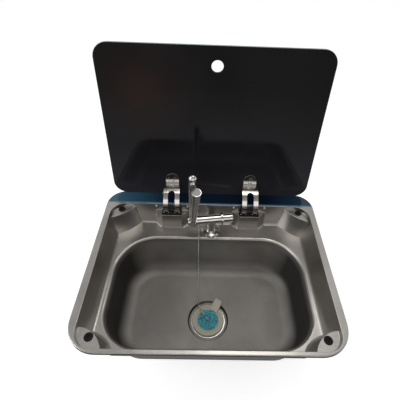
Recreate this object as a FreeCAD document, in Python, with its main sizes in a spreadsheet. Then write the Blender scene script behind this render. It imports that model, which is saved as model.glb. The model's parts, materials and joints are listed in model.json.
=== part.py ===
"""Drop-in caravan sink with a folding tap and a glass lid that stands open behind it.

Millimetres. The origin is the centre of the rim on the worktop's top face, +Z up, and the user stands at -Y.
The model is in its rest pose: lid open, spout raised, plug in the drain.
"""

import FreeCAD, Part
import math
import os
import re

import Sketcher

V = FreeCAD.Vector
X_AXIS = V(1, 0, 0)
Y_AXIS = V(0, 1, 0)
Z_AXIS = V(0, 0, 1)

doc = FreeCAD.newDocument("rv_sink")

# ---------------------------------------------------------------- driving dimensions

DIMENSIONS = {
    # the rim and the recess inside it
    "rim_length": 420,
    "rim_width": 320,
    "rim_top": 5,
    "rim_corner_front": 48,
    "rim_corner_rear": 36,
    "rim_side_band": 12.5,
    "rim_front_band": 6.7,
    "rim_rear_band": 34.5,
    "rim_bend": 1.6,
    "rim_inner_bend": 0.6,
    "steel": 0.8,
    "lip_gap": 0.4,
    "recess_depth": 50,
    "recess_corner": 27,
    "recess_foot_corner": 20,
    "recess_foot_bend": 4,
    "recess_side_draft": 10.5,
    "recess_front_draft": 8,
    "recess_rear_draft": 6.4,
    # the corner pads: cones whose centres are measured from the rim's corners
    "pad_drop": 8,
    "front_pad_in": 12,
    "front_pad_out": 3,
    "front_pad_radius": 43,
    "front_pad_spread": 11.5,
    "rear_pad_aside": 14,
    "rear_pad_behind": 17,
    "rear_pad_radius": 88.5,
    "rear_pad_spread": 11,
    "pad_hole": 5.8,
    "front_hole_aside": 33,
    "front_hole_in": 25.5,
    "rear_hole_aside": 31,
    "rear_hole_in": 44.5,
    # the bowl and its drain
    "bowl_length": 353,
    "bowl_front_ledge": 25.8,
    "bowl_rear_ledge": 81.8,
    "bowl_corner_front": 64,
    "bowl_corner_rear": 75,
    "bowl_depth": 140,
    "bowl_draft": 11,
    "bowl_floor_bend": 26,
    "bowl_mouth_bend": 5,
    "drain_forward": 20,
    "drain_radius": 39,
    "drain_draft": 2.5,
    "drain_sink": 6,
    "drain_hole_gap": 2,
    # the hinge bosses in the recess's rear wall
    "hinge_x": 79,
    "boss_drop": 16,
    "boss_lip": 7.4,
    "boss_foot_lip": 10.5,
    "boss_half": 19.8,
    "boss_flare": 0.92,
    "boss_foot_flare": 1.04,
    "slot_shift": 0.2127,
    "slot_width": 6,
    "slot_length": 35,
    "insert_wall": 0.8,
    "insert_flange": 2,
    "insert_height": 1,
    "insert_tail": 1.6,
    # the seal, the film and the grommets
    "seal_width": 2.6,
    "fit_gap": 0.3,
    "film": 0.15,
    "film_half": 188,
    "film_margin": 1.5,
    "grommet_lip": 1.2,
    "grommet_height": 1.2,
    "grommet_bore": 2.75,
    # the glass lid
    "lid_side_margin": 11,
    "lid_front_margin": 1.7,
    "lid_glass": 4,
    "lid_corner": 26,
    "lid_bevel": 0.6,
    "lid_open": 97.4,
    "lid_lift": 2.5,
    "lid_setback": 7.3,
    "finger_hole": 10,
    "finger_hole_aside": 3,
    "finger_hole_inset": 33,
    # the hinges
    "pivot_inset": 13.2,
    "pivot_drop": 5,
    "pin_radius": 2,
    "pin_clearance": 0.05,
    "pin_head": 3,
    "pin_head_height": 1,
    "eye_radius": 3.8,
    "arm_radius": 33,
    "arm_steel": 2.5,
    "arm_width": 32,
    "arm_leg": 9.2,
    "arm_past_slot": 15.5288,
    "arm_crest": 71.5,
    "arm_arch": 120,
    "crank_height": 10.5,
    "crank_depth": 6.6,
    "crank_rise": 4.4,
    "tongue_width": 26,
    "tongue_reach": 50,
    "cushion": 0.8,
    "screw_reach": 33.3,
    "screw_radius": 2.5,
    "screw_head": 4,
    "screw_dome": 2,
    "lid_nut_radius": 5,
    "lid_nut_height": 3,
    "friction_washer": 1.2,
    "washer_radius": 3.6,
    "side_gap": 0.15,
    "bracket_steel": 1.5,
    "bracket_half": 36,
    "bracket_top": 2.4,
    "bracket_foot": 14,
    "ear_tail": 4.4,
    "ear_steel": 1.5,
    "wall_screw_half": 31.5,
    "wall_screw_drop": 6,
    "wall_screw": 2,
    "wall_screw_length": 8,
    "wall_screw_head": 3,
    "wall_screw_dome": 1.6,
    "wall_nut": 3.9,
    "wall_nut_height": 2.6,
    # the folding tap, in its own frame: x along the barrel, z from the recess floor
    "tap_x": 2,
    "tap_inset": 26.5,
    "tap_yaw": 8,
    "tap_axis": 36.5,
    "barrel_radius": 9.2,
    "barrel_left": 27,
    "barrel_right": 19.5,
    "barrel_bore": 7,
    "column_radius": 10.4,
    "column_bore": 5,
    "tap_hole_gap": 0.6,
    "shank_length": 42,
    "groove_drop": 12,
    "groove_width": 2,
    "groove_depth": 1,
    "flange_radius": 19,
    "flange_height": 4.5,
    "tap_gasket": 1,
    "collar_radius": 14,
    "collar_width": 2.6,
    "knob_radius": 9,
    "knob_length": 21,
    "knob_plug": 9,
    "head_radius": 10,
    "head_gap": 0.3,
    "head_length": 20,
    "head_round": 1.2,
    "spigot_radius": 6,
    "spigot_length": 15,
    "spigot_bore": 3.2,
    "ring_section": 0.85,
    "ring_groove": 1,
    "ring_first": 4,
    "ring_pitch": 4.5,
    "spout_x": 38,
    "spout_set_back": 6.5,
    "spout_lean": 9.4,
    "spout_radius": 7,
    "spout_bore": 5.8,
    "spout_length": 131,
    "outlet_radius": 5,
    "outlet_below_tip": 8,
    "outlet_length": 9,
    "outlet_pitch": 110,
    "aerator_radius": 4,
    "aerator_length": 4,
    "lever_x": 37,
    "lever_forward": 12.5,
    "lever_rise": 21,
    "lever_lean": 11,
    "lever_side_lean": 2.4,
    "lever_ball": 6.2,
    "lever_end": 8.6,
    "lever_length": 90,
    "lever_cap": 7.7,
    "lever_cap_height": 1,
    "stem_radius": 1.5,
    "stem_length": 8.2,
    "stem_bore": 4.4,
    "cartridge_top": 9,
    "cartridge_radius": 4.9,
    "cartridge_length": 6,
    "under_washer": 15.4,
    "under_rubber": 2,
    "under_steel": 1.5,
    "nut_corner": 15,
    "nut_height": 7,
    # the waste, the plug and its chain
    "waste_flange": 33,
    "waste_throat": 22.5,
    "waste_wall": 1.5,
    "waste_length": 16,
    "waste_gasket": 2,
    "strainer_hole": 2.6,
    "strainer_ring": 14,
    "strainer_inner_hole": 1.3,
    "strainer_inner_ring": 8.4,
    "waste_screw": 2.8,
    "waste_screw_head": 5,
    "waste_screw_dome": 2,
    "waste_screw_length": 14,
    "cup_radius": 34,
    "cup_lip": 4,
    "cup_length": 22,
    "outlet_pipe": 12.5,
    "outlet_pipe_length": 30,
    "spider_width": 7,
    "spider_height": 4.6,
    "plug_radius": 31,
    "plug_rim": 3.4,
    "plug_gap": 1.5,
    "plug_stem_length": 9,
    "plug_dish": 1.4,
    "plug_film_radius": 19.6,
    "eye_stem": 2.2,
    "eye_stem_length": 4,
    "eye_ring": 2.4,
    "eye_wire": 0.7,
    "chain_radius": 1.2,
    "anchor_x": 24.5,
    "anchor_radius": 1.3,
    "anchor_length": 3.5,
}

dims = doc.addObject("Spreadsheet::Sheet", "dims")
for row, (alias, value) in enumerate(DIMENSIONS.items(), start=1):
    dims.set(f"A{row}", alias)
    dims.set(f"B{row}", str(value))
    dims.setAlias(f"B{row}", alias)
doc.recompute()


def size(alias):
    """A driving dimension as a number, for the forms that are worked out in code."""
    return float(dims.get(alias))


def expression(text):
    """Text with every driving dimension in it written as a reference to its cell."""
    return re.sub(r"[a-z_]+", lambda word: f"dims.{word[0]}" if word[0] in DIMENSIONS else word[0], str(text))


def bind(target, **properties):
    for name, text in properties.items():
        target.setExpression(name, expression(text))


def place(target, x="0", y="0", z="0", axis=None, angle="0"):
    """Ties an object's place, and its turn about one axis, to the driving dimensions."""
    if axis is not None:
        target.Placement = FreeCAD.Placement(V(0, 0, 0), FreeCAD.Rotation(axis, 30))
        target.setExpression("Placement.Rotation.Angle", expression(angle))
    for letter, text in zip("xyz", (x, y, z)):
        target.setExpression(f"Placement.Base.{letter}", expression(text))
    return target


# Places that several pieces share.
FLOOR = "(rim_top - recess_depth)"
BOWL_FLOOR = "(rim_top - bowl_depth)"
WALL_LEAN = "atan(recess_rear_draft / recess_depth)"
PIVOT_Y = "(rim_width / 2 - pivot_inset)"
PIVOT_Z = "(rim_top - pivot_drop)"
TAP_Y = "(rim_width / 2 - rim_rear_band - tap_inset)"
DRAIN_Y = "((bowl_front_ledge - bowl_rear_ledge) / 2 - drain_forward)"
DRAIN_Z = "(rim_top - bowl_depth - drain_sink)"
# The slots lie where the arms' circle passes through the bosses' tops.
SLOT_INSET = "(pivot_inset + sqrt(arm_radius ^ 2 - (boss_drop - pivot_drop) ^ 2) - rim_rear_band - slot_shift)"
ARM_TAIL = "((180 deg + asin((boss_drop - pivot_drop) / arm_radius)) / 1 deg + arm_past_slot)"
PLUG_STEM = "(waste_throat - plug_gap)"
GROMMET_FLANGE = "(pad_hole + grommet_lip)"

# ---------------------------------------------------------------- ways of making a piece

parts = {}


def keep(name, target):
    """Files a finished piece under the name of its node."""
    target.Label = name
    parts[name] = target
    return target


def cylinder(name, radius, height, x="0", y="0", z="0", axis=None, angle="90", sweep="360"):
    piece = doc.addObject("Part::Cylinder", name)
    bind(piece, Radius=radius, Height=height, Angle=sweep)
    return place(piece, x, y, z, axis, angle)


def cone(name, foot, top, height, x="0", y="0", z="0", axis=None, angle="90"):
    piece = doc.addObject("Part::Cone", name)
    bind(piece, Radius1=foot, Radius2=top, Height=height)
    return place(piece, x, y, z, axis, angle)


def block(name, length, width, height, x="0", y="0", z="0", axis=None, angle="0"):
    piece = doc.addObject("Part::Box", name)
    bind(piece, Length=length, Width=width, Height=height)
    return place(piece, x, y, z, axis, angle)


def ball(name, radius, x="0", y="0", z="0"):
    piece = doc.addObject("Part::Sphere", name)
    bind(piece, Radius=radius)
    return place(piece, x, y, z)


def torus(name, radius, section, x="0", y="0", z="0", axis=None, angle="90"):
    piece = doc.addObject("Part::Torus", name)
    bind(piece, Radius1=radius, Radius2=section)
    return place(piece, x, y, z, axis, angle)


def hexagon(name, corner, height, x="0", y="0", z="0", axis=None, angle="90"):
    piece = doc.addObject("Part::Prism", name)
    piece.Polygon = 6
    bind(piece, Circumradius=corner, Height=height)
    return place(piece, x, y, z, axis, angle)


def cut(name, base, tool):
    piece = doc.addObject("Part::Cut", name)
    piece.Base = base
    piece.Tool = tool
    piece.Refine = True
    return piece


def fuse(name, *pieces):
    piece = doc.addObject("Part::MultiFuse", name)
    piece.Shapes = list(pieces)
    piece.Refine = True
    return piece


def group(name, *pieces):
    piece = doc.addObject("Part::Compound", name)
    piece.Links = list(pieces)
    return piece


def sketch_on(body, plane, name):
    """An empty sketch on one of the body's own origin planes."""
    sketch = body.newObject("Sketcher::SketchObject", name)
    origin_plane = next(f for f in body.Origin.OriginFeatures if f.Role == plane)
    sketch.AttachmentSupport = [(origin_plane, "")]
    sketch.MapMode = "FlatFace"
    return sketch


def draw_outline(sketch, corners):
    """A closed outline of straight lines whose corners are pairs of expressions."""
    count = len(corners)
    for k in range(count):
        sketch.addGeometry(Part.LineSegment(V(k, k * k, 0), V(k + 1, k * k + 2, 0)), False)
    for k in range(count):
        sketch.addConstraint(Sketcher.Constraint("Coincident", k, 2, (k + 1) % count, 1))
    for k, corner in enumerate(corners):
        for kind, text in zip(("DistanceX", "DistanceY"), corner):
            number = sketch.addConstraint(Sketcher.Constraint(kind, -1, 1, k, 1, 1.0))
            sketch.setExpression(f"Constraints[{number}]", expression(text))


def turned(name, corners):
    """A body of revolution about Z from an outline of (radius, height) pairs."""
    body = doc.addObject("PartDesign::Body", name)
    sketch = sketch_on(body, "XZ_Plane", f"{name}_profile")
    draw_outline(sketch, corners)
    turn = body.newObject("PartDesign::Revolution", f"{name}_turn")
    turn.Profile = sketch
    turn.ReferenceAxis = (sketch, ["V_Axis"])
    turn.Angle = 360
    return body


def padded(name, plane, corners, length):
    """A body padded half to each side of one of its origin planes."""
    body = doc.addObject("PartDesign::Body", name)
    sketch = sketch_on(body, plane, f"{name}_outline")
    draw_outline(sketch, corners)
    pad = body.newObject("PartDesign::Pad", f"{name}_pad")
    pad.Profile = sketch
    pad.SideType = "Symmetric"
    bind(pad, Length=length)
    return body


def dome(name, radius, height):
    """The rounded head of a screw: a cap of a sphere that stands on z = 0."""
    piece = doc.addObject("Part::Sphere", name)
    ball_radius = f"(({radius}) ^ 2 + ({height}) ^ 2) / (2 * ({height}))"
    bind(piece, Radius=ball_radius, Angle1=f"asin(1 - ({height}) / ({ball_radius}))")
    return place(piece, z=f"({height}) - {ball_radius}")


def screw(name, radius, length, head, rise):
    """A dome-headed screw that hangs from z = 0."""
    shank = cylinder(f"{name}_shank", radius, length, z=f"-({length})")
    return fuse(name, shank, dome(f"{name}_head", head, rise))


def shaped(name, shape):
    """A piece whose form is worked out in code from the driving dimensions."""
    piece = doc.addObject("Part::Feature", name)
    piece.Shape = shape
    return piece


def rounded_outline(half_x, front, rear, front_corner, rear_corner, height):
    """A rounded rectangle at one height: half_x each way, and from -front to rear in y."""
    fx, fy = half_x - front_corner, front_corner - front
    rx, ry = half_x - rear_corner, rear - rear_corner
    corners = [(fx, fy, front_corner, -90), (rx, ry, rear_corner, 0)]
    corners += [(-rx, ry, rear_corner, 90), (-fx, fy, front_corner, 180)]
    arcs = []
    for x, y, radius, start in corners:
        turn = [math.radians(start + step) for step in (0, 45, 90)]
        arcs.append(Part.Arc(*(V(x + radius * math.cos(a), y + radius * math.sin(a), height) for a in turn)))
    edges = []
    for k, arc in enumerate(arcs):
        edges.append(arc.toShape())
        following = arcs[(k + 1) % len(arcs)]
        edges.append(Part.LineSegment(arc.EndPoint, following.StartPoint).toShape())
    return Part.Wire(edges)


def prism(outline, height):
    return Part.Face(outline).extrude(V(0, 0, height))


def edges_at(shape, height):
    """The edges of a shape that lie all along at one height."""
    return [e for e in shape.Edges if abs(e.BoundBox.ZMin - height) < 1e-4 and e.BoundBox.ZLength < 1e-4]


# ---------------------------------------------------------------- the pressed bowl

RIM_TOP = size("rim_top")
STEEL = size("steel")
RIM_HALF_X = size("rim_length") / 2
RIM_HALF_Y = size("rim_width") / 2
FLOOR_Z = RIM_TOP - size("recess_depth")
BOWL_Z = RIM_TOP - size("bowl_depth")
DRAIN_BED_Z = BOWL_Z - size("drain_sink")
RECESS_HALF = RIM_HALF_X - size("rim_side_band")
RECESS_FRONT = RIM_HALF_Y - size("rim_front_band")
RECESS_REAR = RIM_HALF_Y - size("rim_rear_band")
BOWL_FRONT = RIM_HALF_Y - size("bowl_front_ledge")
BOWL_REAR = RIM_HALF_Y - size("bowl_rear_ledge")
DRAIN_CENTRE_Y = (BOWL_REAR - BOWL_FRONT) / 2 - size("drain_forward")
ARM_CROSSING = math.sqrt(size("arm_radius") ** 2 - (size("boss_drop") - size("pivot_drop")) ** 2)
SLOT_BEHIND = size("pivot_inset") + ARM_CROSSING - size("rim_rear_band") - size("slot_shift")
TAP_HOLE = size("column_radius") + size("tap_hole_gap")
DRAIN_HOLE = size("waste_throat") + size("waste_wall") + size("drain_hole_gap")
BELOW_FLOOR = 2 * STEEL
OVERLAP = 2 * STEEL


def corner_pad(x, y, radius, spread, skin):
    """A drafted round pad in a corner of the recess, carried on below its floor."""
    rise = size("recess_depth") - size("pad_drop")
    depth = rise + BELOW_FLOOR
    foot = radius + spread * depth / rise
    top = RIM_TOP - size("pad_drop") - skin
    return Part.makeCone(foot - skin, radius - skin, depth, V(x, y, top - depth))


def boss(x, skin):
    """A hinge boss with a flat top, a drafted front and sides that flare into the rear wall."""

    def outline(front, flare, height):
        start = front + skin
        end = RECESS_REAR + size("recess_rear_draft")
        half = size("boss_half") - skin
        far = half + flare * (end - start)
        corners = [(-half, start), (half, start), (far, end), (-far, end), (-half, start)]
        return Part.makePolygon([V(x + a, b, height) for a, b in corners])

    rise = size("recess_depth") - size("boss_drop")
    lean = (size("boss_foot_lip") - size("boss_lip")) / rise
    foot_front = RECESS_REAR - SLOT_BEHIND - size("boss_foot_lip") - lean * BELOW_FLOOR
    top_front = RECESS_REAR - SLOT_BEHIND - size("boss_lip")
    top = outline(top_front, size("boss_flare"), RIM_TOP - size("boss_drop") - skin)
    foot = outline(foot_front, size("boss_foot_flare"), FLOOR_Z - BELOW_FLOOR)
    return Part.makeLoft([foot, top], True, True)


def recess(skin):
    """The space of the recess; skin grows it by the sheet's thickness, for the sheet's underside."""

    def outline(inset_x, inset_front, inset_rear, corner, height):
        half, front, rear = RECESS_HALF - inset_x, RECESS_FRONT - inset_front, RECESS_REAR - inset_rear
        return rounded_outline(half + skin, front + skin, rear + skin, corner + skin, corner + skin, height)

    top = outline(0, 0, 0, size("recess_corner"), RIM_TOP)
    drafts = [size(f"recess_{side}_draft") for side in ("side", "front", "rear")]
    space = Part.makeLoft([top, outline(*drafts, size("recess_foot_corner"), FLOOR_Z - skin)], True, True)
    space = space.makeFillet(size("recess_foot_bend") + skin, edges_at(space, FLOOR_Z - skin))
    for side in (-1, 1):
        front_x = side * (RIM_HALF_X - size("front_pad_in"))
        front_y = -RIM_HALF_Y - size("front_pad_out")
        rear_x = side * (RIM_HALF_X + size("rear_pad_aside"))
        rear_y = RIM_HALF_Y + size("rear_pad_behind")
        front_size = (size("front_pad_radius"), size("front_pad_spread"))
        rear_size = (size("rear_pad_radius"), size("rear_pad_spread"))
        space = space.cut(corner_pad(front_x, front_y, *front_size, skin))
        space = space.cut(corner_pad(rear_x, rear_y, *rear_size, skin))
        space = space.cut(boss(side * size("hinge_x"), skin))
    return space


def bowl(skin):
    """The space of the bowl, with its drafted walls, round floor bend and sunk drain bed."""

    def outline(inset, height):
        grow = skin - inset
        corners = (size("bowl_corner_front") + grow, size("bowl_corner_rear") + grow)
        ends = (BOWL_FRONT + grow, BOWL_REAR + grow)
        return rounded_outline(size("bowl_length") / 2 + grow, *ends, *corners, height)

    slope = size("bowl_draft") / (FLOOR_Z - BOWL_Z)
    mouth = outline(-slope * OVERLAP, FLOOR_Z + OVERLAP)
    floor = outline(size("bowl_draft"), BOWL_Z - skin)
    space = Part.makeLoft([mouth, floor], True, True)
    space = space.makeFillet(size("bowl_floor_bend") + skin, edges_at(space, BOWL_Z - skin))
    bed = Part.makeCone(
        size("drain_radius") - size("drain_draft") + skin,
        size("drain_radius") + skin,
        size("drain_sink"),
        V(0, DRAIN_CENTRE_Y, DRAIN_BED_Z - skin),
    )
    return space.fuse(bed)


def air(skin):
    """All the space inside the sheet, with the bend at the bowl's mouth."""
    space = recess(skin).fuse(bowl(skin)).removeSplitter()
    mouth_z = FLOOR_Z - skin
    walls = [face for face in space.Faces if face.BoundBox.ZMin < mouth_z - STEEL]
    on_walls = [edge for face in walls for edge in face.Edges]
    mouth = [e for e in edges_at(space, mouth_z) if any(e.isSame(other) for other in on_walls)]
    return space.makeFillet(size("bowl_mouth_bend") - skin, mouth)


def rim_shell(height, inset, bend):
    """The rim's outer form from its lip up, with the bend round its upper edge."""
    half_x, half_y = RIM_HALF_X - inset, RIM_HALF_Y - inset
    corners = (size("rim_corner_front") - inset, size("rim_corner_rear") - inset)
    foot = size("lip_gap")
    solid = prism(rounded_outline(half_x, half_y, half_y, *corners, foot), height - foot)
    return solid.makeFillet(bend, edges_at(solid, height))


def upright_hole(x, y, radius, top, depth):
    return Part.makeCylinder(radius, depth, V(x, y, top - depth))


def slot_hole(x):
    """The slot in a boss's top that the arm and its insert go through."""
    long = size("slot_length") + 2 * size("insert_wall")
    wide = size("slot_width") + 2 * size("insert_wall")
    middle = RECESS_REAR - SLOT_BEHIND
    top = RIM_TOP - size("boss_drop")
    return Part.makeBox(long, wide, 4 * STEEL, V(x - long / 2, middle - wide / 2, top - 2 * STEEL))


def wall_hole(x):
    """A screw hole square to the recess's drafted rear wall."""
    lean = math.atan2(size("recess_rear_draft"), size("recess_depth"))
    y = RECESS_REAR - size("wall_screw_drop") * math.tan(lean)
    reach = size("wall_screw_length")
    into_wall = V(0, math.cos(lean), -math.sin(lean))
    start = V(x, y, RIM_TOP - size("wall_screw_drop")) - into_wall * reach / 2
    return Part.makeCylinder(size("wall_screw") + size("pin_clearance"), reach, start, into_wall)


def pressed_sink():
    sheet = rim_shell(RIM_TOP, 0, size("rim_bend"))
    sheet = sheet.cut(rim_shell(RIM_TOP - STEEL, STEEL, size("rim_bend") - STEEL))
    inside = air(0)
    sheet = sheet.fuse(air(STEEL)).cut(inside)
    holes = []
    for side in (-1, 1):
        pad_z = RIM_TOP - size("pad_drop") + STEEL
        for end in ("front", "rear"):
            x = side * (RIM_HALF_X - size(f"{end}_hole_aside"))
            y = RIM_HALF_Y - size(f"{end}_hole_in")
            holes.append(upright_hole(x, -y if end == "front" else y, size("pad_hole"), pad_z, 3 * STEEL))
        holes.append(slot_hole(side * size("hinge_x")))
        for way in (-1, 1):
            holes.append(wall_hole(side * size("hinge_x") + way * size("wall_screw_half")))
    tap_y = RECESS_REAR - size("tap_inset")
    holes.append(upright_hole(size("tap_x"), tap_y, TAP_HOLE, FLOOR_Z + STEEL, 3 * STEEL))
    holes.append(upright_hole(0, DRAIN_CENTRE_Y, DRAIN_HOLE, DRAIN_BED_Z + STEEL, 3 * STEEL))
    sheet = sheet.cut(holes)
    mouth = [e for e in edges_at(sheet, RIM_TOP) if abs(e.CenterOfMass.x) < RECESS_HALF + STEEL]
    mouth = [e for e in mouth if -RECESS_FRONT - STEEL < e.CenterOfMass.y < RECESS_REAR + STEEL]
    return sheet.makeFillet(size("rim_inner_bend"), mouth)


keep("sink_pan", shaped("sink_pan_form", pressed_sink()))

# ---------------------------------------------------------------- seal, film and grommets


def rim_seal():
    """The foam strip inside the lip, from the worktop to the rim's underside."""
    outer_inset = STEEL + size("fit_gap")
    rings = []
    for inset in (outer_inset, outer_inset + size("seal_width")):
        corners = (size("rim_corner_front") - inset, size("rim_corner_rear") - inset)
        half_x, half_y = RIM_HALF_X - inset, RIM_HALF_Y - inset
        rings.append(prism(rounded_outline(half_x, half_y, half_y, *corners, 0), RIM_TOP - STEEL))
    bend = size("rim_bend") - STEEL
    bed = rings[0].makeFillet(bend, edges_at(rings[0], RIM_TOP - STEEL))
    return bed.cut(rings[1])


def rim_film():
    """The protective film left on the rim's rear band, cut straight at both ends."""
    margin = size("film_margin")
    front = RECESS_REAR + margin
    half_x, half_y = RIM_HALF_X - margin, RIM_HALF_Y - margin
    corners = (size("rim_corner_front") - margin, size("rim_corner_rear") - margin)
    sheet = prism(rounded_outline(half_x, half_y, half_y, *corners, RIM_TOP), size("film"))
    band = Part.makeBox(2 * size("film_half"), half_y, size("film"), V(-size("film_half"), front, RIM_TOP))
    return sheet.common(band)


keep("rim_seal", shaped("rim_seal_form", rim_seal()))
keep("rim_film", shaped("rim_film_form", rim_film()))

grommet_holes = {
    "front_left": ("front_hole_aside - rim_length / 2", "front_hole_in - rim_width / 2"),
    "front_right": ("rim_length / 2 - front_hole_aside", "front_hole_in - rim_width / 2"),
    "rear_left": ("rear_hole_aside - rim_length / 2", "rim_width / 2 - rear_hole_in"),
    "rear_right": ("rim_length / 2 - rear_hole_aside", "rim_width / 2 - rear_hole_in"),
}
grommets = []
for corner, (hole_x, hole_y) in grommet_holes.items():
    grommet = turned(
        f"grommet_{corner}",
        [
            ("grommet_bore", "-steel - grommet_height"),
            (GROMMET_FLANGE, "-steel - grommet_height"),
            (GROMMET_FLANGE, "-steel"),
            ("pad_hole - pin_clearance", "-steel"),
            ("pad_hole - pin_clearance", "0"),
            (GROMMET_FLANGE, "0"),
            (f"{GROMMET_FLANGE} - grommet_height / 2", "grommet_height"),
            ("grommet_bore", "grommet_height"),
        ],
    )
    grommets.append(place(grommet, hole_x, hole_y, "rim_top - pad_drop"))
keep("corner_grommets", group("corner_grommet_set", *grommets))

# ---------------------------------------------------------------- the glass lid
# Lid pieces are drawn about the hinge axis with the lid shut, then turned open together.

GLASS_UNDER = "(lid_lift + pivot_drop)"
GLASS_REAR = "(-lid_setback)"
GLASS_FRONT = "(pivot_inset + lid_front_margin - rim_width)"
GLASS_HALF = "(rim_length / 2 - lid_side_margin)"
SCREW_REACH = "(lid_setback + screw_reach)"


def on_lid(target):
    return place(target, "0", PIVOT_Y, PIVOT_Z, X_AXIS, "-lid_open")


def upright_edges(feature):
    doc.recompute()
    edges = enumerate(feature.Shape.Edges, start=1)
    return [f"Edge{number}" for number, edge in edges if edge.BoundBox.ZLength > size("lid_glass") / 2]


def flat_faces(feature):
    doc.recompute()
    faces = enumerate(feature.Shape.Faces, start=1)
    return [f"Face{number}" for number, face in faces if face.BoundBox.ZLength < size("lid_glass") / 2]


glass = doc.addObject("PartDesign::Body", "glass")
glass_outline = sketch_on(glass, "XY_Plane", "glass_outline")
draw_outline(
    glass_outline,
    [
        (f"-{GLASS_HALF}", GLASS_FRONT),
        (GLASS_HALF, GLASS_FRONT),
        (GLASS_HALF, GLASS_REAR),
        (f"-{GLASS_HALF}", GLASS_REAR),
    ],
)
bind(glass_outline, **{"AttachmentOffset.Base.z": GLASS_UNDER})
glass_pad = glass.newObject("PartDesign::Pad", "glass_pad")
glass_pad.Profile = glass_outline
bind(glass_pad, Length="lid_glass")
glass_corners = glass.newObject("PartDesign::Fillet", "glass_corners")
glass_corners.Base = (glass_pad, upright_edges(glass_pad))
bind(glass_corners, Radius="lid_corner")
glass_holes = sketch_on(glass, "XY_Plane", "glass_holes")
bind(glass_holes, **{"AttachmentOffset.Base.z": GLASS_UNDER})
for number, (hole_x, hole_y, hole_radius) in enumerate(
    [
        ("finger_hole_aside", f"{GLASS_FRONT} + finger_hole_inset", "finger_hole"),
        ("-hinge_x", f"-{SCREW_REACH}", "screw_radius + cushion"),
        ("hinge_x", f"-{SCREW_REACH}", "screw_radius + cushion"),
    ]
):
    glass_holes.addGeometry(Part.Circle(V(number, number, 0), Z_AXIS, 1 + number), False)
    for kind, text in (("DistanceX", hole_x), ("DistanceY", hole_y)):
        constraint = glass_holes.addConstraint(Sketcher.Constraint(kind, -1, 1, number, 3, 1.0))
        glass_holes.setExpression(f"Constraints[{constraint}]", expression(text))
    constraint = glass_holes.addConstraint(Sketcher.Constraint("Radius", number, 2.0))
    glass_holes.setExpression(f"Constraints[{constraint}]", expression(hole_radius))
glass_pocket = glass.newObject("PartDesign::Pocket", "glass_pocket")
glass_pocket.Profile = glass_holes
glass_pocket.Type = "ThroughAll"
glass_pocket.SideType = "Symmetric"
glass_bevel = glass.newObject("PartDesign::Chamfer", "glass_bevel")
glass_bevel.Base = (glass_pocket, flat_faces(glass_pocket))
bind(glass_bevel, Size="lid_bevel")
keep("lid_glass", on_lid(glass))

# ---------------------------------------------------------------- the hinges
# A hinge's pieces are drawn about its pivot. Those of the lid are drawn with the lid shut.

TONGUE_TOP = f"({GLASS_UNDER} - cushion)"
TONGUE_TIP = "(lid_setback + tongue_reach - tongue_width / 2)"
BAND_OUTER = "(arm_radius + arm_steel / 2)"
BAND_INNER = "(arm_radius - arm_steel / 2)"
LEG_GAP = "(arm_width - 2 * arm_leg)"
ARCH = "(arm_arch + lid_open)"
HINGES = {"left": "-hinge_x", "right": "hinge_x"}


def at_hinge(target, side, aside="0", turned_open=True):
    """Puts a piece on one hinge: with the lid, or fixed to the bowl."""
    spot = (f"{HINGES[side]} + ({aside})", PIVOT_Y, PIVOT_Z)
    return place(target, *spot, X_AXIS, "-lid_open") if turned_open else place(target, *spot)


def polar(radius, angle):
    return (f"({radius}) * cos({angle})", f"({radius}) * sin({angle})")


def rod(name, radius, width, sweep="360", start="0"):
    """A round rod, or a sector of one, along X and half to each side of X = 0."""
    upright = cylinder(f"{name}_upright", radius, width, z=f"-({width}) / 2", sweep=sweep)
    swung = place(group(f"{name}_swung", upright), axis=Z_AXIS, angle=start)
    return place(group(name, swung), axis=V(1, 1, 1), angle="120")


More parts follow.
